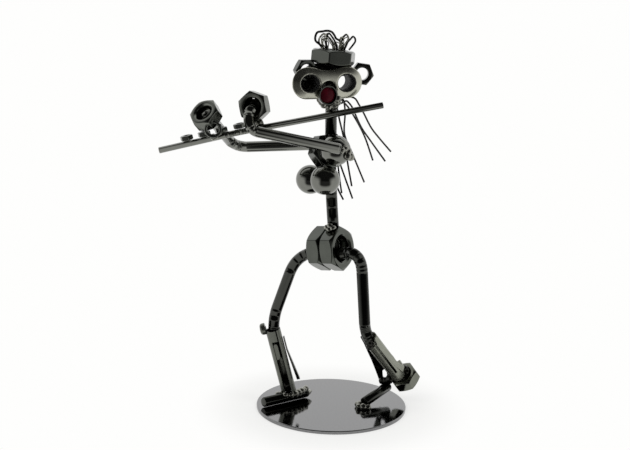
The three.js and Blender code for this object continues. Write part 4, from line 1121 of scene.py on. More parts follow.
@dataclass
class Flute:
    """The flute rod and the small nuts that are its keys."""

    stock: Stock
    torso: Torso
    free_end: Point = (-84.6, -10, 130.3)
    bow: Point = (-46.4, -7.5, 139.6, 8)
    mouth_height: float = 148.2
    reach: float = 25.2
    key_distances: Point = (14.2, 22.7, 30.9, 39.9)
    key_corner: Point = (0.35, -1, 0)
    sides: int = 28
    end_round: float = 0.3

    def build(self, maker: Maker) -> None:
        """Builds the rod and its keys.

        Args:
            maker: Turns the meshes into pieces.
        """
        stock, torso = self.stock, self.torso
        share = (self.mouth_height - torso.neck_foot[2]) / (torso.neck_top[2] - torso.neck_foot[2])
        gap = (stock.limb + stock.flute) / 2 + stock.seat
        mouth = step(between(torso.neck_foot, torso.neck_top, share), VIEWER, gap)
        far_end = step(mouth, heading(self.bow[:3], mouth), self.reach)
        rod = Rod((self.free_end, self.bow, far_end), stock.flute, self.sides, end_round=self.end_round)
        maker.piece("flute_bar", rod.mesh(), PALE_CHROME, ["flute"])
        along = heading(self.free_end, self.bow[:3])
        up = along.cross(Vector(UP)).normalized().cross(along)
        rise = stock.flute / 2 + stock.seat + stock.key.thick / 2
        for number, distance in enumerate(self.key_distances, 1):
            place = frame_at(step(step(self.free_end, along, distance), up, rise), up, self.key_corner)
            name = f"flute_key_{number}"
            maker.piece(name + "_fine", stock.key.mesh(place), DARK_CHROME, [name], stock.key.edge)


@dataclass
class Arms:
    """Both arm rods, the hand nuts and the finger nut."""

    stock: Stock
    torso: Torso
    left_lean: Point = (0.24, -0.94, 0.2)
    left_elbow: Point = (-42.1, -12.9, 141.3, 5.5)
    left_hand: Point = (-40.8, -9.5, 152)
    left_axis: Point = (-0.32, -0.94, 0.09)
    left_turn: float = 15.0
    left_end_round: float = 1.3
    right_shoulder: Point = (-8.5, 3.9, 132.6)
    right_elbow: Point = (-49.8, 9.2, 129.7, 7)
    right_hand: Point = (-63.6, -11.5, 149.4)
    right_axis: Point = (-0.41, -0.64, 0.64)
    right_sink: float = 3.0
    right_rise: float = 1.3
    left_sink: float = 3.0
    left_drop: float = 0.6
    wrist_reach: float = 3.3
    wrist_drop: float = 2.3
    finger: Point = (-58.6, -13.4, 141.5)
    filling: float = 2.0
    filling_depth: float = 4.2
    filling_ripple: float = 0.7
    filling_grain: float = 1.5

    def build(self, maker: Maker) -> None:
        """Builds the left arm, the right arm and the finger nut.

        Args:
            maker: Turns the meshes into pieces.
        """
        stock = self.stock
        reach = (stock.shoulder_ball + stock.arm) / 2 + stock.seat
        start = step(self.torso.shoulder(), self.left_lean, reach)
        wrist = step(step(self.left_hand, self.left_axis, self.wrist_reach), UP, -self.wrist_drop)
        end = step(step(self.left_hand, self.left_axis, -self.left_sink), UP, -self.left_drop)
        route = (start, self.left_elbow, (*wrist, self.wrist_reach), end)
        left = Rod(route, stock.arm, end_round=self.left_end_round)
        maker.piece("left_arm_bar", left.mesh(), PALE_CHROME, ["left_arm_rod"])
        turn = math.radians(self.left_turn)
        self.build_hand(maker, "left_hand_nut", self.left_hand, self.left_axis,
                        (-math.sin(turn), 0, math.cos(turn)))
        end = step(step(self.right_hand, self.right_axis, -self.right_sink), UP, self.right_rise)
        right = Rod((self.right_shoulder, self.right_elbow, end), stock.arm)
        maker.piece("right_arm_bar", right.mesh(), PALE_CHROME, ["right_arm_rod"])
        self.build_hand(maker, "right_hand_nut", self.right_hand, self.right_axis, (0, 1, 0))
        radius = stock.hand.bore / 2
        # A weld plug fills each hand nut's bore, and it is darkened as painted shade in the bore
        for name, hand, axis in (("left_hand_filling", self.left_hand, self.left_axis),
                                 ("right_hand_filling", self.right_hand, self.right_axis)):
            filling = lump(step(hand, axis, -self.filling_depth), (radius, radius, self.filling), axis,
                           self.filling_ripple, self.filling_grain)
            maker.piece(name, filling, SHADED_WELD)
        finger = stock.finger.mesh(frame_at(self.finger, VIEWER, UP))
        maker.piece("finger_nut_fine", finger, DARK_CHROME, ["finger_nut"], stock.finger.edge)

    def build_hand(self, maker: Maker, name: str, hand: Point, axis: Point, corner: Point) -> None:
        """Builds a hand nut.

        Args:
            maker: Turns the mesh into a piece.
            name: The solid that it stands for.
            hand: The middle of its front face.
            axis: The direction that it faces.
            corner: The direction that a corner leans to.
        """
        nut = self.stock.hand
        place = frame_at(step(hand, axis, -nut.thick / 2), axis, corner)
        maker.piece(name + "_fine", nut.mesh(place), DARK_CHROME, [name], nut.edge)


@dataclass
class Head:
    """Cast goggles, nose, ears and hat."""

    stock: Stock
    centre: Point = (-4.65, -8, 163.45)
    facing: Point = (0.39, -0.92, 0)
    radius: float = 7.65
    length: float = 36.0
    depth: float = 8.5
    spacing: float = 18.6
    hole_width: float = 9.6
    hole_height: float = 8.4
    bridge: float = 6.0
    notch: float = 8.2
    notch_top: float = 1.1
    corner: float = 1.8
    taper_share: float = 0.16
    hole_rim_share: float = 0.51
    curve_steps: int = 28
    voxel: float = 0.25
    soften: int = 14
    nose_shift: float = -1.4
    nose_drop: float = 5.35
    nose_diameter: float = 9.2
    nose_wall: float = 0.5
    nose_depth: float = 2.4
    nose_floor: float = 0.6
    nose_edge: float = 0.16
    dome_height: float = 1.2
    dome_steps: int = 12
    hat_shift: Point = (1.75, 12)
    hat_rise: float = 0.1
    hat_axis: Point = (0.075, 0.024, 1)
    hat_corner: Point = (-0.194, -0.981, 0)
    right_ear: Point = (-7.6, 5.3)
    left_ear: Point = (11.05, 7.7, 166.9)
    left_ear_axis: Point = (0.1, -1, 0)
    left_ear_corner: Point = (0.99, 0, -0.14)
    plug: float = 1.2
    plug_edge: float = 0.2
    filling_ripple: float = 0.6
    under_hat: Point = (-4.4, 1.5, 169.2)
    under_hat_size: Point = (11.6, 5.5, 3.3)
    behind_eye: Point = (-7.4, -1.5, -10.6)
    behind_eye_size: Point = (5.4, 4.4, 2.0)
    over_nose: Point = (0.4, -1.8, -5.5)
    over_nose_size: Point = (4.6, 3.6, 2.6)
    bow: float = 2.0
    lining_wall: float = 0.25
    lining_sink: float = 0.5
    lining_depth: float = 12.8

    def hat_frame(self) -> Matrix:
        """The frame at the middle of the hat nut.

        Returns:
            The frame as a matrix.
        """
        height = self.centre[2] + self.radius + self.stock.seat + self.hat_rise + self.stock.hat.thick / 2
        place = (self.centre[0] + self.hat_shift[0], self.centre[1] + self.hat_shift[1], height)
        return frame_at(place, self.hat_axis, self.hat_corner)

    def arc(self, centre: Point, radius: float, start: float, end: float) -> list[Point]:
        """Points of an arc.

        Args:
            centre: The arc's centre.
            radius: Its radius.
            start: Its first angle, in degrees.
            end: Its last angle, in degrees.

        Returns:
            The points from start to end.
        """
        steps = self.curve_steps
        angles = [math.radians(start + (end - start) * k / steps) for k in range(steps + 1)]
        return [(centre[0] + radius * math.cos(a), centre[1] + radius * math.sin(a)) for a in angles]

    def bezier(self, corners: Sequence[Point]) -> list[Point]:
        """Points of a Bezier curve, without its last one.

        Args:
            corners: Its three or four control points.

        Returns:
            The points from the first corner on.
        """
        points = []
        for k in range(self.curve_steps):
            level = [Vector(c) for c in corners]
            while len(level) > 1:
                level = [a.lerp(b, k / self.curve_steps) for a, b in zip(level, level[1:])]
            points.append(tuple(level[0]))
        return points

    def outline(self) -> list[Point]:
        """The casting's outline: round ends, a dip at the bridge and a notch over the nose.

        Returns:
            The points round it.
        """
        radius, bridge = self.radius, self.bridge
        reach = self.length / 2 - radius
        notch = self.notch / 2
        rise = self.notch_top - notch
        right = self.arc((reach, 0), radius, -QUARTER_TURN, QUARTER_TURN)[:-1]
        down = self.bezier([(reach, radius), (reach / 2, radius), (reach / 2, bridge), (0, bridge)])
        across = self.bezier([(0, bridge), (-reach / 2, bridge), (-reach / 2, radius), (-reach, radius)])
        left = self.arc((-reach, 0), radius, QUARTER_TURN, HALF_TURN + QUARTER_TURN)
        side, low = notch + self.corner, self.corner - radius
        into = self.bezier([(-side, -radius), (-notch, -radius), (-notch, low)])
        over = self.arc((0, rise), notch, HALF_TURN, 0)
        out = self.bezier([(notch, low), (notch, -radius), (side, -radius)])
        return right + down + across + left + into + over + out

    def goggle_mesh(self, place: Matrix) -> bmesh.types.BMesh:
        """The casting's sharp shape, its front at the frame's origin.

        Args:
            place: The frame on its front face.

        Returns:
            The closed mesh.
        """
        bm = bmesh.new()
        loops = [self.outline()]
        circle = self.arc((0, 0), 1, 0, FULL_TURN)[:-1]
        for side in (-1, 1):
            loops.append([(side * self.spacing / 2 + x * self.hole_width / 2, y * self.hole_height / 2)
                          for x, y in circle])
        edges = []
        for loop in loops:
            verts = [bm.verts.new((x, y, 0)) for x, y in loop]
            edges += [bm.edges.new(pair) for pair in zip(verts, verts[1:] + verts[:1])]
        bmesh.ops.triangle_fill(bm, edges=edges, use_beauty=True, normal=UP)
        grown = bmesh.ops.extrude_face_region(bm, geom=list(bm.faces))["geom"]
        for vert in (g for g in grown if isinstance(g, bmesh.types.BMVert)):
            on_hole = any(math.hypot((vert.co.x - s * self.spacing / 2) / self.hole_width,
                                     vert.co.y / self.hole_height) < self.hole_rim_share for s in (-1, 1))
            if not on_hole:
                vert.co.x *= 1 - self.taper_share
                vert.co.y *= 1 - self.taper_share
            vert.co.z = -self.depth
        bmesh.ops.recalc_face_normals(bm, faces=bm.faces)
        bmesh.ops.transform(bm, matrix=place, verts=bm.verts)
        return bm

    def build_goggles(self, maker: Maker, place: Matrix) -> None:
        """Builds the casting, softens its edges, domes its front and lines its holes with painted shade.

        Args:
            maker: Turns the meshes into pieces.
            place: The frame on its front face.
        """
        bm = self.goggle_mesh(place)
        bmesh.ops.transform(bm, matrix=TO_METRES, verts=bm.verts)
        made = object_of("goggles_casting", bm)
        remeshed(made, self.voxel, self.soften)
        inside = place.inverted()
        reach = self.length / 2 - self.radius
        for vert in made.data.vertices:
            spot = inside @ (vert.co / METRES_PER_MM)
            rim = math.hypot(max(abs(spot.x) - reach, 0), spot.y) / self.radius
            fade = max(1 + spot.z / self.depth, 0)
            spot.z -= self.bow * fade * min(rim, 1) ** 2
            vert.co = (place @ spot) * METRES_PER_MM
        maker.dressed(made, CAST_CHROME, ["goggles"])
        # The left lining runs deep behind the casting, a dark sheet that paints the shade seen through that
        # hole
        squash = Matrix.Diagonal((1, self.hole_height / self.hole_width, 1, 1))
        for name, side, depth in (("right_eye_shade_lining", -1, self.depth),
                                  ("left_eye_shade_lining", 1, self.lining_depth)):
            sleeve = SlottedSleeve(self.hole_width, self.lining_wall, -depth, -self.lining_sink, ())
            lining = sleeve.mesh(place @ Matrix.Translation((side * self.spacing / 2, 0, 0)) @ squash)
            maker.piece(name, lining, SHADED_BORE)

    def build_nose(self, maker: Maker, place: Matrix) -> None:
        """Builds the nose cup and the enamelled dome in it.

        Args:
            maker: Turns the meshes into pieces.
            place: The frame at the back of the cup.
        """
        radius = self.nose_diameter / 2
        bore = radius - self.nose_wall
        cup = [(0, 0), (radius, 0), (radius, self.nose_depth), (bore, self.nose_depth),
               (bore, self.nose_floor), (0, self.nose_floor)]
        maker.piece("nose_cup_turned", turned(cup, place), BLACK_CHROME, ["nose_cup"], self.nose_edge)
        floor = self.nose_floor + self.stock.seat
        dome = quarter_round((0, floor), bore - self.stock.seat, self.dome_height, self.dome_steps)
        maker.piece("nose_dome_turned", turned([(0, floor), *dome], place), RED_ENAMEL, ["nose_dome"])

    def build(self, maker: Maker) -> None:
        """Builds the head.

        Args:
            maker: Turns the meshes into pieces.
        """
        stock = self.stock
        place = frame_at(self.centre, self.facing, UP)
        self.build_goggles(maker, place)
        nose = place @ Vector((self.nose_shift, -self.nose_drop, stock.seat))
        self.build_nose(maker, frame_at(nose, self.facing, UP))
        hat = self.hat_frame()
        maker.piece("hat_nut_fine", stock.hat.mesh(hat), BLACK_CHROME, ["hat_nut"], stock.hat.edge)
        depth = self.depth + stock.seat + stock.ear.thick / 2
        ear = place @ Vector((*self.right_ear, -depth))
        corner = heading(self.centre, place @ Vector((1, 0, 0)))
        ears = (("right_ear_nut", frame_at(ear, self.facing, corner)),
                ("left_ear_nut", frame_at(self.left_ear, self.left_ear_axis, self.left_ear_corner)))
        for name, matrix in ears:
            maker.piece(name + "_fine", stock.ear.mesh(matrix), SHADED_EAR_CHROME, [name], stock.ear.edge)
        # Dark weld lumps under the hat, behind the left eye hole and over the nose are painted shade in those
        # hollows
        fillings = (("hat_shade_filling", self.under_hat, self.under_hat_size, UP),
                    ("eye_shade_filling", place @ Vector(self.behind_eye), self.behind_eye_size, self.facing),
                    ("nose_shade_filling", place @ Vector(self.over_nose), self.over_nose_size, self.facing))
        for name, centre, size, axis in fillings:
            maker.piece(name, lump(centre, size, axis, self.filling_ripple), SHADED_WELD)
        radius = stock.hat.bore / 2 - stock.seat
        low = -stock.hat.thick / 2
        plug = [(0, low), (radius, low), (radius, low + self.plug), (0, low + self.plug)]
        maker.piece("hair_plug_disc", turned(plug, hat), WELD_METAL, ["hair_plug"], self.plug_edge)


def smooth_route(route: Sequence[Point], steps: int) -> list[Vector]:
    """Points of a centripetal Catmull-Rom curve through a route.

    Args:
        route: The points that it passes.
        steps: The number of steps between two of them.

    Returns:
        The points along the curve.
    """
    points = [Vector(p) for p in route]
    points = [points[0] * 2 - points[1], *points, points[-1] * 2 - points[-2]]
    curve = []
    for a, b, c, d in zip(points, points[1:], points[2:], points[3:]):
        knots = [0.0]
        for near, far in ((a, b), (b, c), (c, d)):
            knots.append(knots[-1] + max((far - near).length, LEAST_STEP) ** KNOT_POWER)
        for k in range(steps):
            t = knots[1] + (knots[2] - knots[1]) * k / steps
            first = [p.lerp(q, (t - knots[i]) / (knots[i + 1] - knots[i]))
                     for i, (p, q) in enumerate(((a, b), (b, c), (c, d)))]
            second = [first[i].lerp(first[i + 1], (t - knots[i]) / (knots[i + 2] - knots[i])) for i in (0, 1)]
            curve.append(second[0].lerp(second[1], (t - knots[1]) / (knots[2] - knots[1])))
    curve.append(points[-2])
    return curve


@dataclass(frozen=True)
class PhotoCamera:
    """The photo's camera, fitted to the round plate and the upright parts."""

    eye: Point = (-9.95, -586.79, 220.31)
    pitch: float = 12.19
    roll: float = 1.17
    lens: float = 70.286
    sensor: float = 36.0
    picture: Point = (630.0, 450.0)
    clip_end: float = 100.0

    def axes(self) -> tuple[Vector, Vector, Vector]:
        """The picture's right, its up and the way that the camera looks.

        Returns:
            The three directions.
        """
        tilt, roll = math.radians(self.pitch), math.radians(self.roll)
        level = Vector((1, 0, 0))
        above = Vector((0, math.sin(tilt), math.cos(tilt)))
        right = level * math.cos(roll) + above * math.sin(roll)
        up = above * math.cos(roll) - level * math.sin(roll)
        return right, up, Vector((0, math.cos(tilt), -math.sin(tilt)))

    def seen_at(self, pixel: Point, depth: float) -> Vector:
        """The point that a pixel shows at a depth.

        Args:
            pixel: Its place across and down the picture.
            depth: The point's place on Y.

        Returns:
            The point.
        """
        right, up, ahead = self.axes()
        across, down = (place - size / 2 for place, size in zip(pixel, self.picture))
        focus = self.lens / self.sensor * self.picture[0]
        ray = ahead + right * (across / focus) - up * (down / focus)
        return Vector(self.eye) + ray * ((depth - self.eye[1]) / ray.y)

    def build(self) -> None:
        """Makes the scene's camera."""
        data = bpy.data.cameras.new("photo_camera")
        data.lens = self.lens
        data.sensor_width = self.sensor
        data.clip_end = self.clip_end
        camera = bpy.data.objects.new("photo_camera", data)
        right, up, ahead = self.axes()
        turn = Matrix((right, up, -ahead)).transposed().to_4x4()
        camera.matrix_world = Matrix.Translation(Vector(self.eye) * METRES_PER_MM) @ turn
        bpy.context.scene.collection.objects.link(camera)
        bpy.context.scene.camera = camera


@dataclass
class Hair:
    """Wire curls in the hat nut and long wire strands behind the head."""

    stock: Stock
    head: Head
    camera: PhotoCamera
    sides: int = 14
    steps: int = 9
    root: Point = (0, 8.5, 155)
    strand_length: float = 50.0
    thick_curl: str = "curl_outer_left"
    thick_share: float = 1.2
    thin_share: float = 0.58
    curl_shares: dict[str, Sequence[Point]] = field(default_factory=lambda: {
        "curl_back_left": (
            (-0.34, 0.12, -0.4), (-0.42, 0.07, -0.02), (-0.56, 0, 0.21), (-0.58, -0.09, 0.38),
            (-0.51, -0.09, 0.51), (-0.4, -0.05, 0.59), (-0.25, -0.01, 0.5), (-0.12, 0.03, 0.34),
            (0, 0.07, 0.12), (0.02, 0.1, -0.4)),
        "curl_outer_left": (
            (-0.32, -0.07, -0.4), (-0.35, -0.08, -0.05), (-0.55, -0.17, 0.2), (-0.71, -0.25, 0.34),
            (-0.72, -0.33, 0.51), (-0.65, -0.33, 0.66), (-0.46, -0.29, 0.7), (-0.26, -0.25, 0.725),
            (-0.1, -0.17, 0.68), (0, -0.09, 0.56), (0.08, -0.01, 0.42), (0.21, 0.07, 0.34),
            (0.26, 0.15, 0.12), (0.2, 0.13, -0.4)),
        "curl_inner": (
            (-0.19, -0.23, -0.4), (-0.29, -0.23, 0.15), (-0.3, -0.21, 0.43), (-0.21, -0.17, 0.62),
            (-0.09, -0.17, 0.5), (0.04, -0.2, 0.3), (0.1, -0.2, 0.11), (0.1, -0.2, -0.4)),
        "curl_right": (
            (0.25, -0.04, -0.4), (0.29, -0.01, 0.12), (0.31, -0.01, 0.39), (0.46, 0.03, 0.58),
            (0.55, 0.07, 0.45), (0.48, 0.15, 0.16), (0.4, 0.15, -0.02), (0.34, 0.16, -0.4)),
        "curl_front_right": (
            (0.33, -0.19, -0.4), (0.4, -0.19, 0.01), (0.5, -0.25, 0.28), (0.61, -0.41, 0.43),
            (0.71, -0.49, 0.54), (0.79, -0.61, 0.46), (0.79, -0.69, 0.37), (0.69, -0.77, 0.22),
            (0.56, -0.81, 0.06)),
    })
    thin_sway: float = 0.5
    thin_sway_turn: float = 1.7
    thin_sink: float = 2.5
    thin_digits: int = 1
    # Each thin curl's depth on Y, then the photo's pixels that it passes
    thin_curl_pixels: Sequence[tuple[float, Sequence[Point]]] = (
        (2, ((321.6, 46.6), (319.6, 42.9), (319.1, 39.7), (320.3, 36.7), (322.9, 34.8), (326.1, 35.1),
            (329.4, 37.4), (332.9, 41.6), (335.6, 45.9))),
        (0, ((322.5, 46.5), (321.4, 42.3), (321.9, 38.3), (323.8, 36.4), (326.1, 37), (328.7, 40.3),
            (331.3, 44.2), (332.6, 46.5))),
        (3, ((323.5, 46.5), (322.9, 42.9), (323.8, 39), (325.1, 38), (326.4, 40.3), (326.1, 43.6),
            (327.4, 46.5))),
        (5, ((325.8, 46.5), (324.8, 41.6), (324.2, 37.1), (326.1, 34.1), (328.4, 33.2), (330.7, 34.8),
            (333.3, 39), (336.6, 43.6), (337.5, 46.5))),
        (-0.5, ((328.1, 46.5), (328.7, 42.9), (326.1, 39.7), (323.5, 38.7), (321.9, 40.3), (322.9, 44.2),
            (324.8, 46.5))),
        (4, ((340.5, 46.9), (339.7, 42.9), (340.8, 39), (343.4, 36.1), (346.5, 34.1), (348.3, 36.4),
            (347.1, 40.3), (345, 43.6), (343.9, 46.8))),
        (1, ((341.8, 46.8), (340.5, 42.3), (339.9, 38.7), (341.7, 37), (343.6, 39), (343.6, 42.9),
            (342.8, 46.8))),
        (5.5, ((339.2, 45.6), (341.8, 41.6), (345, 38), (348.6, 37), (348, 40.7), (346, 44.2),
            (345, 46.9))),
        (2.5, ((334, 45.5), (336.5, 42), (339.1, 42.9), (341.1, 40.3), (342.4, 43.6), (339.8, 46.5))),
    )
    strand_shares: Sequence[Sequence[Point]] = (
        ((0.024, 0.01, 0.016), (0.078, 0.01, 0.012), (0.16, 0.02, -0.004), (0.204, 0.03, -0.066),
         (0.25, 0.04, -0.144), (0.332, 0.05, -0.294), (0.416, 0.06, -0.398), (0.532, 0.07, -0.528)),
        ((-0.018, -0.038, -0.024), (-0.004, -0.032, -0.056), (0.038, -0.006, -0.049), (0.082, 0.03, -0.033),
         (0.107, 0.04, -0.053), (0.138, 0.05, -0.093), (0.169, 0.07, -0.159), (0.238, 0.08, -0.299),
         (0.324, 0.09, -0.419), (0.481, 0.1, -0.629)),
        ((0.016, 0.056, 0.012), (0.036, 0.074, -0.028), (0.1, 0.09, -0.098), (0.172, 0.11, -0.208),
         (0.24, 0.12, -0.326), (0.286, 0.12, -0.424), (0.36, 0.13, -0.628)),
        ((-0.012, -0.002, 0.006), (-0.016, 0.004, -0.04), (0.012, 0.02, -0.19), (0.054, 0.03, -0.352),
         (0.088, 0.04, -0.496), (0.106, 0.05, -0.624), (0.156, 0.06, -0.878)),
        ((0.036, 0.02, 0.004), (0.054, 0.034, -0.03), (0.068, 0.042, -0.1), (0.072, 0.05, -0.172),
         (0.072, 0.07, -0.362), (0.148, 0.09, -0.542), (0.28, 0.1, -0.844)),
        ((-0.04, 0.026, 0), (-0.05, 0.036, -0.05), (-0.064, 0.07, -0.226), (-0.038, 0.08, -0.454),
         (0.04, 0.09, -0.672), (0.168, 0.1, -1.01)),
        ((-0.052, -0.01, -0.004), (-0.07, 0.002, -0.054), (-0.092, 0.03, -0.27), (-0.076, 0.04, -0.568),
         (0.012, 0.05, -0.888), (0.076, 0.05, -1.014)),
        ((-0.032, 0.058, 0), (-0.036, 0.072, -0.05), (-0.022, 0.11, -0.28), (0.004, 0.13, -0.58),
         (0.042, 0.13, -0.86), (0.06, 0.13, -0.964)),
    )

    def wire(self, route: Sequence[Point], share: float = 1.0) -> bmesh.types.BMesh:
        """A wire along a route.

        Args:
            route: The points that it passes.
            share: Its diameter as a share of the common wire's.

        Returns:
            The closed mesh.
        """
        points = smooth_route(route, self.steps)
        tangents = [heading(points[max(i - 1, 0)], points[min(i + 1, len(points) - 1)])
                    for i in range(len(points))]
        return sweep(transported(points, tangents), [self.stock.wire / 2 * share] * len(points), self.sides)

    def thin_route(self, top: Vector, depth: float, pixels: Sequence[Point]) -> list[Vector]:
        """A thin curl's route, which sways in depth and ends inside the hat nut.

        Args:
            top: The middle of the hat's top.
            depth: The curl's place on Y.
            pixels: The photo's pixels that it passes.

        Returns:
            The points, to a tenth of a millimetre from the top.
        """
        places = []
        for number, pixel in enumerate(pixels):
            sway = self.thin_sway * math.cos(self.thin_sway_turn * number)
            spot = self.camera.seen_at(pixel, depth + sway) - top
            places.append(Vector([round(value, self.thin_digits) for value in spot]))
        first, last = (Vector((end.x, end.y, -self.thin_sink)) for end in (places[0], places[-1]))
        return [top + place for place in (first, *places, last)]

    def build(self, maker: Maker) -> None:
        """Builds the curls and the strands.

        Args:
            maker: Turns the meshes into pieces.
        """
        top = self.head.hat_frame() @ Vector((0, 0, self.stock.hat.thick / 2))
        for name, shares in self.curl_shares.items():
            route = [top + Vector(share) * self.stock.hat.bore for share in shares]
            share = self.thick_share if name == self.thick_curl else 1.0
            maker.piece(name + "_wire", self.wire(route, share), WIRE_STEEL, [name])
        for number, (depth, pixels) in enumerate(self.thin_curl_pixels, 1):
            thin = self.wire(self.thin_route(top, depth, pixels), self.thin_share)
            maker.piece(f"thin_curl_{number}_wire", thin, THIN_WIRE)
        for number, shares in enumerate(self.strand_shares, 1):
            route = [Vector(self.root) + Vector(share) * self.strand_length for share in shares]
            name = f"strand_{number}"
            maker.piece(name + "_wire", self.wire(route), WIRE_STEEL, [name])


@dataclass
class Studio:
    """White floor, soft boxes and the room that the metal mirrors."""

    floor_size: float = 40000.0
    floor_white: float = 0.62
    white_from: Point = (41.0, 72.0)
    dark_zone: Point = (-210.0, -80.0)
    dark_width_shares: Point = (0.5, 0.87)
    dark_paper: float = 0.07
    black: float = 0.02
    side_white: float = 0.9
    side_from: Point = (0.45, 0.95)
    side_top: Point = (0.1, 0.5)
    behind_from: Point = (-0.1, 0.3)
    ambient: float = 0.62
    aim: Point = (0, 0, 90)
    paper: str = "F2F2F0"
    paper_glow: str = "FEFEFD"
    white: str = "FFFFFF"
    boxes: Sequence[tuple[Point, float, float]] = (
        ((-620, -420, 820), 380, 4.6), ((560, -380, 860), 340, 4.2), ((0, 520, 900), 420, 1.6))

    def build(self) -> None:
        """Builds the floor, the room and the soft boxes."""
        self.build_floor()
        self.build_world()
        for number, box in enumerate(self.boxes, 1):
            self.build_box(f"soft_box_{number}", *box)
        bpy.context.scene.view_settings.view_transform = "Standard"

    def build_floor(self) -> None:
        """Makes the white floor, which keeps a soft shadow."""
        bm = bmesh.new()
        bmesh.ops.create_grid(bm, x_segments=2, y_segments=2, size=self.floor_size / 2 * METRES_PER_MM)
        floor = object_of("studio_floor", bm)
        made = bpy.data.materials.new("white_paper")
        made.use_nodes = True
        tree = made.node_tree
        tree.nodes.clear()
        diffuse = add_node(tree, "ShaderNodeBsdfDiffuse", None, {"Color": linear(self.paper)})
        glow = add_node(tree, "ShaderNodeEmission", None, {"Color": linear(self.paper_glow), "Strength": 1.0})
        path = add_node(tree, "ShaderNodeLightPath")
        glossy = path.outputs["Is Glossy Ray"]
        place = add_node(tree, "ShaderNodeTexCoord").outputs["Object"]
        distance = add_node(tree, "ShaderNodeVectorMath", {0: place}, operation="LENGTH").outputs["Value"]
        low, high = (d * METRES_PER_MM for d in self.white_from)
        white = add_node(tree, "ShaderNodeMapRange", {0: distance},
                         {1: low, 2: high, 3: self.floor_white, 4: 1.0}, interpolation_type="SMOOTHSTEP")
        seen = add_node(tree, "ShaderNodeMath", {0: path.outputs["Is Camera Ray"], 1: glossy},
                        operation="MAXIMUM")
        share = add_node(tree, "ShaderNodeMath", {0: seen.outputs[0], 1: white.outputs[0]},
                         operation="MULTIPLY")
        paper = add_node(tree, "ShaderNodeMixShader",
                         {0: share.outputs[0], 1: diffuse.outputs[0], 2: glow.outputs[0]})
        # In the metal, the paper ends in front of the figure, where the room is dark
        low, high = (d * METRES_PER_MM for d in self.dark_zone)
        axes = add_node(tree, "ShaderNodeSeparateXYZ", {0: place})
        ends = add_node(tree, "ShaderNodeMapRange", {0: axes.outputs[1]}, {1: low, 2: high, 3: 1.0, 4: 0.0},
                        interpolation_type="SMOOTHSTEP")
        away = add_node(tree, "ShaderNodeMath", {0: axes.outputs[0]}, operation="ABSOLUTE")
        across = add_node(tree, "ShaderNodeMath", {0: away.outputs[0], 1: distance}, operation="DIVIDE")
        low, high = self.dark_width_shares
        middle = add_node(tree, "ShaderNodeMapRange", {0: across.outputs[0]},
                          {1: low, 2: high, 3: 1.0, 4: 0.0}, interpolation_type="SMOOTHSTEP")
        zone = add_node(tree, "ShaderNodeMath", {0: ends.outputs[0], 1: middle.outputs[0]},
                        operation="MULTIPLY")
        gone = add_node(tree, "ShaderNodeMath", {0: zone.outputs[0], 1: glossy}, operation="MULTIPLY")
        night = add_node(tree, "ShaderNodeEmission", None,
                         {"Color": linear(self.white), "Strength": self.dark_paper})
        laid = add_node(tree, "ShaderNodeMixShader",
                        {0: gone.outputs[0], 1: paper.outputs[0], 2: night.outputs[0]})
        add_node(tree, "ShaderNodeOutputMaterial", {"Surface": laid.outputs[0]})
        floor.data.materials.append(made)

    def build_world(self) -> None:
        """Makes the room: dark towards the camera and above, white at its sides and behind the figure."""
        world = bpy.data.worlds.new("studio_room")
        bpy.context.scene.world = world
        world.use_nodes = True
        tree = world.node_tree
        tree.nodes.clear()
        direction = add_node(tree, "ShaderNodeTexCoord").outputs["Generated"]
        axes = add_node(tree, "ShaderNodeSeparateXYZ", {0: direction})
        away = add_node(tree, "ShaderNodeMath", {0: axes.outputs[0]}, operation="ABSOLUTE")
        low, high = self.side_from
        wide = add_node(tree, "ShaderNodeMapRange", {0: away.outputs[0]}, {1: low, 2: high},
                        interpolation_type="SMOOTHSTEP")
        low, high = self.side_top
        under = add_node(tree, "ShaderNodeMapRange", {0: axes.outputs[2]}, {1: low, 2: high, 3: 1.0, 4: 0.0},
                         interpolation_type="SMOOTHSTEP")
        side = add_node(tree, "ShaderNodeMath", {0: wide.outputs[0], 1: under.outputs[0]},
                        operation="MULTIPLY")
        front = add_node(tree, "ShaderNodeMix", {0: side.outputs[0]}, {2: self.black, 3: self.side_white})
        low, high = self.behind_from
        behind = add_node(tree, "ShaderNodeMapRange", {0: axes.outputs[1]}, {1: low, 2: high},
                          interpolation_type="SMOOTHSTEP")
        room = add_node(tree, "ShaderNodeMix", {0: behind.outputs[0], 2: front.outputs[0]}, {3: 1.0})
        path = add_node(tree, "ShaderNodeLightPath")
        shiny = add_node(tree, "ShaderNodeMix", {0: path.outputs["Is Glossy Ray"], 3: room.outputs[0]},
                         {2: self.ambient})
        level = add_node(tree, "ShaderNodeMix", {0: path.outputs["Is Camera Ray"], 2: shiny.outputs[0]},
                         {3: 1.0})
        glow = add_node(tree, "ShaderNodeBackground", {"Strength": level.outputs[0]},
                        {"Color": linear(self.white)})
        add_node(tree, "ShaderNodeOutputWorld", {"Surface": glow.outputs[0]})

    def build_box(self, name: str, place: Point, size: float, radiance: float) -> None:
        """Makes a soft box that faces the figure.

        Args:
            name: Its name.
            place: Its centre.
            size: The length of its side.
            radiance: How bright its face is, where 1 is white.
        """
        data = bpy.data.lights.new(name, "AREA")
        data.shape = "SQUARE"
        data.size = size * METRES_PER_MM
        data.energy = radiance * math.pi * data.size ** 2
        light = bpy.data.objects.new(name, data)
        light.visible_glossy = False
        turn = heading(self.aim, place).to_track_quat("Z", "Y").to_matrix().to_4x4()
        light.matrix_world = Matrix.Translation(Vector(place) * METRES_PER_MM) @ turn
        bpy.context.scene.collection.objects.link(light)


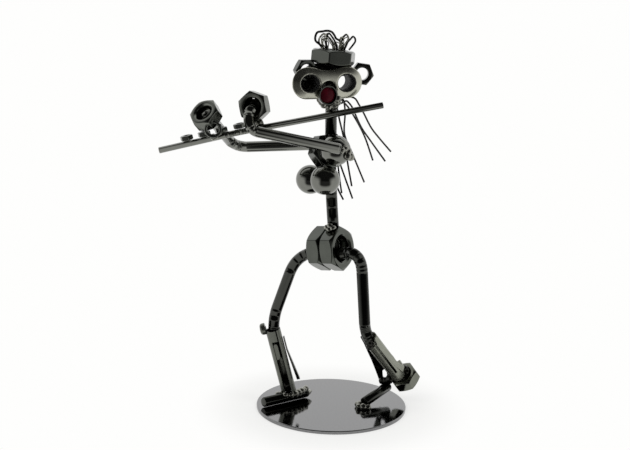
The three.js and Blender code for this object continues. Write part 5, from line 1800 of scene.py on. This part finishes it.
def main() -> None:
    """Builds the figure from the plate up, then the studio and the camera."""
    logging.basicConfig(level=logging.INFO, format="%(name)s: %(message)s")
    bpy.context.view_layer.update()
    maker = Maker()
    stock = Stock()
    plate = BasePlate()
    pelvis = Pelvis(stock)
    torso = Torso(stock)
    head = Head(stock)
    camera = PhotoCamera()
    assemblies = [plate, pelvis, RightLeg(stock, pelvis, plate), LeftLeg(stock, pelvis), torso,
                  Flute(stock, torso), Arms(stock, torso), head, Hair(stock, head, camera), Weld()]
    for assembly in assemblies:
        log.info("%s", type(assembly).__name__)
        assembly.build(maker)
    log.info("%d pieces", maker.count)
    Studio().build()
    camera.build()


if __name__ == "__main__":
    main()
